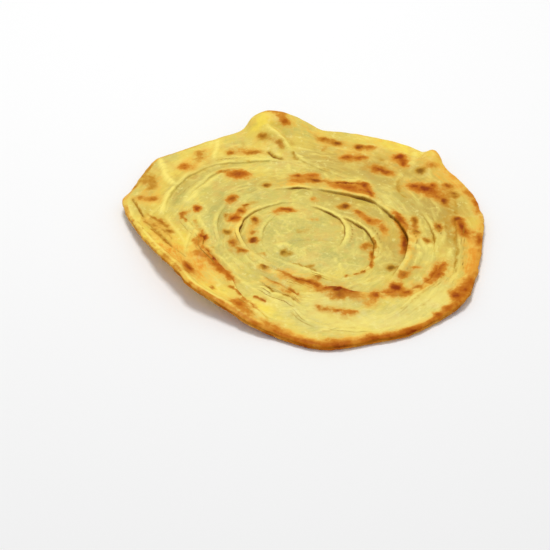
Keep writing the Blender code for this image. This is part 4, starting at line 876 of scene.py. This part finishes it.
def zone_marks(x, y, r, deg):
    R = rim_radius(deg)
    gold = 0.30 + 0.26 * smooth((r - 26.0) / 60.0)
    for cx, cy, length, width, angle, amount in YELLOW:
        gold = gold + amount * patch(x, y, cx, cy, length * 0.56, width * 0.62, angle)
    gold = gold + 0.16 * layered(x, y, 16.0, 501)
    cream, tan_and_shade, broad = np.zeros(x.shape), np.zeros(x.shape), np.zeros(x.shape)
    for cx, cy, length, width, angle, amount in CREAM:
        cream = cover(cream, amount * patch(x, y, cx, cy, length * 0.56, width * 0.62, angle))
    for cx, cy, length, width, angle, amount in TAN_AND_SHADE:
        tan_and_shade = cover(tan_and_shade, amount * patch(x, y, cx, cy, length * 0.56, width * 0.62, angle))
    for cx, cy, length, width, angle, amount in TOASTED:
        broad = cover(broad, amount * patch(x, y, cx, cy, length * 0.56, width * 0.62, angle, 2.3))
    edge = round_stations(EDGE_TOAST, deg) * (0.9 + 0.35 * grain(x, y, 7.0, 511) + 0.25 * grain(x, y, 3.0, 513))
    broad = cover(broad, edge * np.exp(-((np.maximum(R - r - 0.5, 0.0) / round_stations(EDGE_REACH, deg)) ** 2)))
    return np.clip(gold, 0.0, 1.0), cream, tan_and_shade, broad


def under_marks(x, y, r, deg):
    """Brown patches of the griddled underside, crowded on the high places."""
    rng = np.random.RandomState(77)
    R = rim_radius(deg)
    wx = x + 1.6 * grain(x, y, 5.0, 621) + 0.6 * grain(x, y, 2.2, 623)
    wy = y + 1.6 * grain(x, y, 5.0, 625) + 0.6 * grain(x, y, 2.2, 627)
    spots, cores = np.zeros(x.shape), np.zeros(x.shape)
    for _ in range(UNDER_PATCHES):
        a, rad = math.radians(rng.uniform(0, 360)), 96.0 * math.sqrt(rng.uniform(0.01, 1.0))
        cx, cy = rad * math.cos(a), rad * math.sin(a)
        length, width = rng.uniform(4.0, 12.0), rng.uniform(3.0, 6.5)
        tilt, strength = math.degrees(a) + 90.0 + rng.uniform(-40, 40), rng.uniform(0.4, 0.95)
        spots = cover(spots, strength * patch(wx, wy, cx, cy, length, width, tilt, 2.4))
        cores = np.maximum(cores, rng.uniform(0.1, 0.7) * patch(wx, wy, cx, cy, length * 0.5, width * 0.5, tilt, 2.2))
    broad = np.clip(0.30 + 0.55 * layered(x, y, 24.0, 631), 0.0, 1.0) * (0.5 + 0.5 * smooth((R - r) / 12.0))
    return spots, cores, broad


def ring_faces(a, na, b, nb):
    """Faces between a ring starting at vertex a with na points and the next one at b with nb."""
    faces = []
    if na == nb:
        for i in range(na):
            j = (i + 1) % na
            faces.append((a + i, b + i, b + j, a + j))
    elif nb == 2 * na:
        for i in range(na):
            j = (i + 1) % na
            o, p, q = b + 2 * i, b + 2 * i + 1, b + (2 * i + 2) % nb
            faces += [(a + i, o, p), (a + i, p, a + j), (a + j, p, q)]
    elif na == 2 * nb:
        for i in range(nb):
            j = (i + 1) % nb
            o, p, q = a + 2 * i, a + 2 * i + 1, a + (2 * i + 2) % na
            faces += [(o, b + i, p), (p, b + i, b + j), (p, b + j, q)]
    return faces


def build_bread():
    rings = build_rings()
    counts = [len(ring["deg"]) for ring in rings]
    starts = np.concatenate([[1], 1 + np.cumsum(counts)])
    total = int(starts[-1]) + 1
    last = total - 1

    deg = np.concatenate([[0.0]] + [ring["deg"] for ring in rings] + [[0.0]])
    r = np.concatenate([[0.0]] + [ring["r"] for ring in rings] + [[0.0]])
    z = np.concatenate([[float(np.mean(rings[0]["z"]))]] + [ring["z"] for ring in rings] + [[float(np.mean(rings[-1]["z"]))]])
    flat = np.concatenate([[0.0]] + [ring["flat"] for ring in rings] + [[0.0]])
    marks = {name: np.concatenate([[0.0]] + [ring[name] for ring in rings] + [[0.0]]) for name in ("dark", "toast", "crest")}
    sides = ["top"] + [s for ring, n in zip(rings, counts) for s in [ring["side"]] * n] + ["under"]
    side = np.array([{"top": 0, "edge": 1, "under": 2}[s] for s in sides])
    level = np.concatenate([[1.0]] + [np.full(n, ring.get("at", 1.0 if ring["side"] == "top" else -1.0)) for ring, n in zip(rings, counts)] + [[-1.0]])

    x, y = r * np.cos(np.radians(deg)), r * np.sin(np.radians(deg))
    R = rim_radius(deg)
    face_r = np.minimum(flat, R - 0.4)
    fx, fy = face_r * np.cos(np.radians(deg)), face_r * np.sin(np.radians(deg))
    spots, cores, olive = spot_marks(fx, fy)
    gold, cream, tan_and_shade, broad = zone_marks(fx, fy, face_r, deg)
    under_spots, under_cores, under_broad = under_marks(fx, fy, face_r, deg)
    below = smooth((0.35 - level) / 0.9)
    spots = spots * (1 - below) + under_spots * below
    cores = cores * (1 - below) + under_cores * below
    toast = 1.0 - (1.0 - broad) * (1.0 - np.clip(marks["toast"], 0.0, 1.0))
    toast = toast * (1 - below) + under_broad * below
    gold = gold * (1 - 0.35 * below)
    inward = np.where(side == 2, np.maximum(R - EDGE_ROUND - r, 0.0), 0.0)
    # the rounded side darkens towards its bottom and onto the underside: partly griddle char, partly painted shade
    charred_and_shaded_side = round_stations(EDGE_CHAR_AND_SHADE, deg) * (0.85 + 0.30 * grain(fx, fy, 6.0, 515) + 0.2 * grain(fx, fy, 2.6, 517))
    charred_and_shaded_side = charred_and_shaded_side * smooth((0.98 - level) / 0.5) * np.exp(-((inward / 5.0) ** 2))
    outline = rim_outline(fx, fy, deg, R - EDGE_ROUND - face_r) * (1 - below)
    spots = cover(spots, np.maximum(0.84 * charred_and_shaded_side, 0.72 * outline))
    cores = np.maximum(cores, 0.34 * smooth((charred_and_shaded_side - 0.75) / 0.5))
    toast = cover(toast, 0.85 * charred_and_shaded_side)

    co = np.stack([x + SHIFT[0], y + SHIFT[1], z], 1)
    co[:, 2] -= co[:, 2].min()
    co *= MM

    faces = [(0, 1 + i, 1 + (i + 1) % counts[0]) for i in range(counts[0])]
    for k in range(len(rings) - 1):
        faces += ring_faces(int(starts[k]), counts[k], int(starts[k + 1]), counts[k + 1])
    a, n = int(starts[len(rings) - 1]), counts[-1]
    faces += [(a + i, last, a + (i + 1) % n) for i in range(n)]

    mesh = bpy.data.meshes.new("paratha_bread")
    mesh.from_pydata([tuple(p) for p in co], [], faces)

    # one flat map: the top with the edge round it, and the underside beside it
    big, small = 0.355 / 122.0, 0.222 / 116.0
    c, s = np.cos(np.radians(deg)), np.sin(np.radians(deg))
    top_uv = np.stack([0.362 + flat * big * c, 0.362 + flat * big * s], 1)
    brim = R - EDGE_ROUND + 5.0
    brim_uv = np.stack([0.362 + brim * big * c, 0.362 + brim * big * s], 1)
    low_uv = np.stack([0.770 + flat * small * c, 0.770 - flat * small * s], 1)
    layer = mesh.uv_layers.new(name="OFBake")
    corner = np.empty(len(mesh.loops), np.int32)
    mesh.loops.foreach_get("vertex_index", corner)
    first = np.empty(len(mesh.polygons), np.int32)
    size = np.empty(len(mesh.polygons), np.int32)
    mesh.polygons.foreach_get("loop_start", first)
    mesh.polygons.foreach_get("loop_total", size)
    owner = np.repeat(np.arange(len(first)), size)
    lowest = np.minimum.reduceat(side[corner], first)
    all_below = (lowest == 2)[owner]
    uv = np.where(all_below[:, None], low_uv[corner], np.where((side[corner] == 2)[:, None], brim_uv[corner], top_uv[corner]))
    layer.data.foreach_set("uv", uv.astype(np.float32).ravel())

    def attribute(name, values, kind="FLOAT"):
        made = mesh.attributes.new(name, kind, "POINT")
        made.data.foreach_set("value" if kind == "FLOAT" else "vector", np.asarray(values, np.float32).ravel())

    attribute("char", spots)
    attribute("core", cores)
    attribute("olive", olive * (1 - below))
    attribute("toast", toast)
    # painted shade of the crevices, then painted highlights of the crests
    attribute("crevice_shade", np.clip(marks["dark"], 0.0, 1.4))
    attribute("crest", np.clip(marks["crest"], 0.0, 1.3))
    attribute("gold", gold)
    attribute("cream", cream * (1 - below))
    # tan: partly baked tone, partly painted shade
    attribute("tan_and_shade", tan_and_shade * (1 - below) + 0.35 * below)
    attribute("below", below)
    attribute("ply", np.stack([flat, 15.0 * c, 15.0 * s], 1), "FLOAT_VECTOR")
    mesh.polygons.foreach_set("use_smooth", np.ones(len(mesh.polygons), bool))
    mesh.update()
    bread = bpy.data.objects.new("paratha_bread", mesh)
    bpy.context.scene.collection.objects.link(bread)
    return bread


# ================================================================ the material
def linear(r, g, b):
    """Scene-linear colour from 0-255 display values."""
    out = []
    for c in (r, g, b):
        c = c / 255.0
        out.append(c / 12.92 if c <= 0.04045 else ((c + 0.055) / 1.055) ** 2.4)
    return tuple(out) + (1.0,)


class Nodes:
    """Short ways to add nodes. A value given as a socket is linked, and one given as a number is set."""

    def __init__(self, tree):
        self.tree = tree

    def add(self, kind, **props):
        node = self.tree.nodes.new(kind)
        for key, value in props.items():
            setattr(node, key, value)
        return node

    def put(self, socket, value):
        if isinstance(value, bpy.types.NodeSocket):
            self.tree.links.new(value, socket)
        else:
            socket.default_value = value

    def math(self, what, a, b=0.0, c=0.0, clamp=False):
        node = self.add("ShaderNodeMath", operation=what, use_clamp=clamp)
        for socket, value in zip(node.inputs, (a, b, c)):
            self.put(socket, value)
        return node.outputs[0]

    def value(self, name):
        return self.add("ShaderNodeAttribute", attribute_name=name).outputs["Fac"]

    def vector(self, name):
        return self.add("ShaderNodeAttribute", attribute_name=name).outputs["Vector"]

    def noise(self, where, scale, detail=3.0, rough=0.55, twist=0.0):
        node = self.add("ShaderNodeTexNoise", noise_dimensions="3D")
        self.put(node.inputs["Vector"], where)
        node.inputs["Scale"].default_value = scale
        node.inputs["Detail"].default_value = detail
        node.inputs["Roughness"].default_value = rough
        node.inputs["Distortion"].default_value = twist
        return node.outputs["Fac"]

    def offset(self, where, by):
        node = self.add("ShaderNodeVectorMath", operation="ADD")
        self.put(node.inputs[0], where)
        node.inputs[1].default_value = (by, -by, 0.5 * by)
        return node.outputs[0]

    def span(self, value, low, high, to_low=0.0, to_high=1.0, smooth_step=True):
        node = self.add("ShaderNodeMapRange", interpolation_type="SMOOTHSTEP" if smooth_step else "LINEAR")
        for socket, v in zip(node.inputs, (value, low, high, to_low, to_high)):
            self.put(socket, v)
        return node.outputs[0]

    def mix(self, amount, a, b):
        node = self.add("ShaderNodeMix", data_type="RGBA", blend_type="MIX", clamp_factor=True)
        self.put(node.inputs["Factor"], amount)
        self.put(node.inputs["A"] if False else node.inputs[6], a)
        self.put(node.inputs["B"] if False else node.inputs[7], b)
        return node.outputs[2]

    def ramp(self, value, stops):
        node = self.add("ShaderNodeValToRGB")
        node.color_ramp.interpolation = "EASE"
        elements = node.color_ramp.elements
        elements[0].position, elements[0].color = stops[0]
        elements[1].position, elements[1].color = stops[-1]
        for position, colour in stops[1:-1]:
            made = elements.new(position)
            made.color = colour
        self.put(node.inputs["Fac"], value)
        return node.outputs["Color"]


def baked_dough():
    made = bpy.data.materials.new("baked_dough_look")
    made.use_nodes = True
    tree = made.node_tree
    n = Nodes(tree)
    shader = tree.nodes["Principled BSDF"]
    place = n.add("ShaderNodeTexCoord").outputs["Object"]
    ply = n.vector("ply")

    # noises, coarse to fine: blotches of the dough, mottling, grain, and streaks along the coil
    blotch = n.noise(place, 62.0, 3.0, 0.55)
    mottle = n.noise(place, 210.0, 3.0, 0.6)
    speck = n.noise(place, 620.0, 2.0, 0.6)
    streak = n.noise(ply, 0.62, 3.0, 0.6, 0.4)
    fine_streak = n.noise(ply, 1.7, 2.0, 0.6)

    # plain dough: greenish khaki to yellow, and a darker olive tan that is partly baked tone and partly painted shade
    gold = n.value("gold")
    shade = n.math("ADD", gold, n.span(blotch, 0.3, 0.7, -0.12, 0.12))
    shade = n.math("ADD", shade, n.span(streak, 0.3, 0.7, -0.08, 0.08))
    shade = n.math("ADD", shade, n.span(mottle, 0.3, 0.7, -0.06, 0.06), clamp=True)
    dough = n.ramp(shade, (
        (0.0, linear(193, 183, 94)), (0.3, linear(213, 195, 97)), (0.6, linear(234, 208, 90)), (1.0, linear(251, 224, 80))))
    peach = n.span(n.noise(place, 105.0, 3.0, 0.6), 0.50, 0.68)
    dough = n.mix(n.math("MULTIPLY", peach, 0.34), dough, linear(230, 180, 92))
    green = n.span(n.noise(n.offset(place, 0.7), 120.0, 3.0, 0.6), 0.50, 0.68)
    dough = n.mix(n.math("MULTIPLY", green, 0.34), dough, linear(196, 190, 84))
    cream = n.math("ADD", n.value("cream"), n.span(streak, 0.3, 0.7, -0.10, 0.10), clamp=True)
    dough = n.mix(n.math("MULTIPLY", cream, 0.9), dough, linear(242, 230, 138))
    # olive tan: partly a deeper baked tone, partly painted shade in hollows and beside plies
    tan_and_shade = n.math("ADD", n.value("tan_and_shade"), n.span(mottle, 0.25, 0.75, -0.10, 0.10), clamp=True)
    dough = n.mix(n.math("MULTIPLY", tan_and_shade, 0.86), dough, linear(184, 145, 54))
    # a few dry, pale and a few greasy, deeper freckles
    pale = n.span(n.noise(place, 300.0, 3.0, 0.60), 0.580, 0.70)
    dough = n.mix(n.math("MULTIPLY", pale, 0.42), dough, linear(252, 240, 146))
    deep = n.span(n.noise(place, 260.0, 4.0, 0.7), 0.60, 0.74)
    dough = n.mix(n.math("MULTIPLY", deep, 0.35), dough, linear(206, 162, 58))

    # painted highlights on the crests of the lips and folds: paler and yellower
    crest = n.math("MULTIPLY", n.value("crest"), n.span(streak, 0.25, 0.6, 0.35, 1.0))
    dough = n.mix(n.math("MULTIPLY", crest, 0.72, clamp=True), dough, linear(253, 243, 136))

    # toasted areas: yellow, then orange
    toast = n.value("toast")
    ragged = n.math("ADD", n.span(mottle, 0.25, 0.75, -0.14, 0.14), n.span(streak, 0.25, 0.75, -0.12, 0.12))
    toasted = n.math("ADD", toast, n.math("MULTIPLY", ragged, n.span(toast, 0.02, 0.35)), clamp=True)
    toast_colour = n.ramp(toasted, (
        (0.0, linear(243, 206, 86)), (0.35, linear(243, 188, 70)), (0.7, linear(231, 154, 43)), (1.0, linear(207, 115, 20))))
    dough = n.mix(n.span(toasted, 0.04, 0.62), dough, toast_colour)
    # the painted highlights again, laid over the toast
    dough = n.mix(n.math("MULTIPLY", crest, 0.50, clamp=True), dough, linear(253, 226, 104))

    # browned spots: a wide golden halo, orange, brown, and a darker middle
    char = n.value("char")
    edge = n.math("ADD", n.span(mottle, 0.25, 0.75, -0.12, 0.12), n.span(speck, 0.25, 0.75, -0.06, 0.06))
    charred = n.math("ADD", char, n.math("MULTIPLY", edge, n.span(char, 0.06, 0.35)), clamp=True)
    char_colour = n.ramp(charred, (
        (0.0, linear(232, 187, 80)), (0.28, linear(223, 161, 56)), (0.52, linear(208, 132, 33)), (0.78, linear(187, 102, 10)), (1.0, linear(166, 80, 2))))
    olive_colour = n.ramp(charred, (
        (0.0, linear(215, 183, 80)), (0.35, linear(196, 154, 50)), (0.70, linear(168, 122, 24)), (1.0, linear(142, 94, 6))))
    olive = n.value("olive")
    char_colour = n.mix(olive, char_colour, olive_colour)
    dough = n.mix(n.span(charred, 0.05, 0.50), dough, char_colour)
    core = n.math("ADD", n.value("core"), n.math("MULTIPLY", edge, n.span(n.value("core"), 0.05, 0.3)), clamp=True)
    core_colour = n.mix(olive, linear(138, 50, 0), linear(122, 80, 0))
    dough = n.mix(n.span(core, 0.06, 0.80, 0.0, 0.92), dough, core_colour)

    # painted shade in the crevices between plies: olive, then dark brown in the line itself
    crevice_shade = n.math("MULTIPLY", n.value("crevice_shade"), n.span(fine_streak, 0.2, 0.6, 0.75, 1.0))
    crevice_shade_colour = n.ramp(crevice_shade, ((0.0, linear(190, 154, 46)), (0.35, linear(175, 133, 30)), (0.9, linear(126, 74, 2))))
    dough = n.mix(n.span(crevice_shade, 0.04, 0.85, 0.0, 0.95), dough, crevice_shade_colour)

    n.put(shader.inputs["Base Color"], dough)

    # roughness in soft blotches, a little higher where browned; the browned parts also reflect less
    rough = n.span(blotch, 0.3, 0.7, 0.40, 0.56)
    rough = n.math("ADD", rough, n.span(mottle, 0.3, 0.7, -0.06, 0.06))
    rough = n.math("ADD", rough, n.math("MULTIPLY", charred, 0.10), clamp=True)
    n.put(shader.inputs["Roughness"], rough)
    n.put(shader.inputs["Specular IOR Level"], n.span(n.math("MAXIMUM", charred, n.math("MULTIPLY", toasted, 0.6)), 0.0, 0.6, 0.22, 0.07))

    # bump: flaky streaks along the coil, blistered grain, roughened char
    height = n.math("MULTIPLY", streak, 0.45)
    height = n.math("ADD", height, n.math("MULTIPLY", fine_streak, 0.18))
    height = n.math("ADD", height, n.math("MULTIPLY", mottle, 0.75))
    height = n.math("ADD", height, n.math("MULTIPLY", speck, n.math("ADD", n.math("MULTIPLY", charred, 0.30), 0.14)))
    bump = n.add("ShaderNodeBump")
    bump.inputs["Strength"].default_value = 0.55
    bump.inputs["Distance"].default_value = 0.0006
    n.put(bump.inputs["Height"], height)
    n.put(shader.inputs["Normal"], bump.outputs["Normal"])
    return made


# ================================================================ camera, floor, light
def add_camera():
    """Above the front of the bread, looking at a point a little left of and below the coil."""
    target = Vector((SHIFT[0] * MM, SHIFT[1] * MM, THICK_EYE * MM))
    height = math.radians(38.0)
    spot = target + 0.9 * Vector((0.0, -math.cos(height), math.sin(height)))
    e, a = math.radians(39.237), math.radians(1.2048)
    back = Vector((math.sin(a) * math.cos(e), -math.cos(a) * math.cos(e), math.sin(e)))
    right = (-back).cross(Vector((0.0, 0.0, 1.0))).normalized()
    up = back.cross(right).normalized()
    data = bpy.data.cameras.new("camera")
    data.sensor_width = 36.0
    data.lens = 1629.0 / 550.0 * 36.0
    data.clip_start, data.clip_end = 0.01, 20.0
    camera = bpy.data.objects.new("camera", data)
    matrix = camera.matrix_world.copy()
    for row in range(3):
        matrix[row][0], matrix[row][1], matrix[row][2], matrix[row][3] = right[row], up[row], back[row], spot[row]
    camera.matrix_world = matrix
    bpy.context.scene.collection.objects.link(camera)
    bpy.context.scene.camera = camera


def add_light(name, spot, aim, size, power, tint=(1.0, 1.0, 1.0)):
    data = bpy.data.lights.new(name, "AREA")
    data.shape = "DISK"
    data.size = size
    data.energy = power
    data.color = tint
    light = bpy.data.objects.new(name, data)
    light.location = spot
    light.rotation_euler = (Vector(aim) - Vector(spot)).to_track_quat("-Z", "Y").to_euler()
    bpy.context.scene.collection.objects.link(light)


def add_studio():
    mesh = bpy.data.meshes.new("floor")
    half = 3.0
    mesh.from_pydata([(-half, -half, 0), (half, -half, 0), (half, half, 0), (-half, half, 0)], [], [(0, 1, 2, 3)])
    floor = bpy.data.objects.new("floor", mesh)
    bpy.context.scene.collection.objects.link(floor)
    paint = bpy.data.materials.new("floor_paint")
    paint.use_nodes = True
    shader = paint.node_tree.nodes["Principled BSDF"]
    shader.inputs["Base Color"].default_value = (0.93, 0.93, 0.93, 1.0)
    shader.inputs["Roughness"].default_value = 0.9
    shader.inputs["Specular IOR Level"].default_value = 0.1
    mesh.materials.append(paint)

    world = bpy.data.worlds.new("soft_light")
    world.use_nodes = True
    world.node_tree.nodes["Background"].inputs["Color"].default_value = (1.0, 1.0, 1.0, 1.0)
    world.node_tree.nodes["Background"].inputs["Strength"].default_value = 0.55
    bpy.context.scene.world = world
    add_light("key", (-0.08, 0.36, 1.20), (0.0, 0.0, 0.0), 0.40, 8.1)
    bpy.context.scene.view_settings.view_transform = "Standard"


bread = build_bread()
bread.data.materials.append(baked_dough())
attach(bread, "root")
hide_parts("paratha")
add_studio()
add_camera()
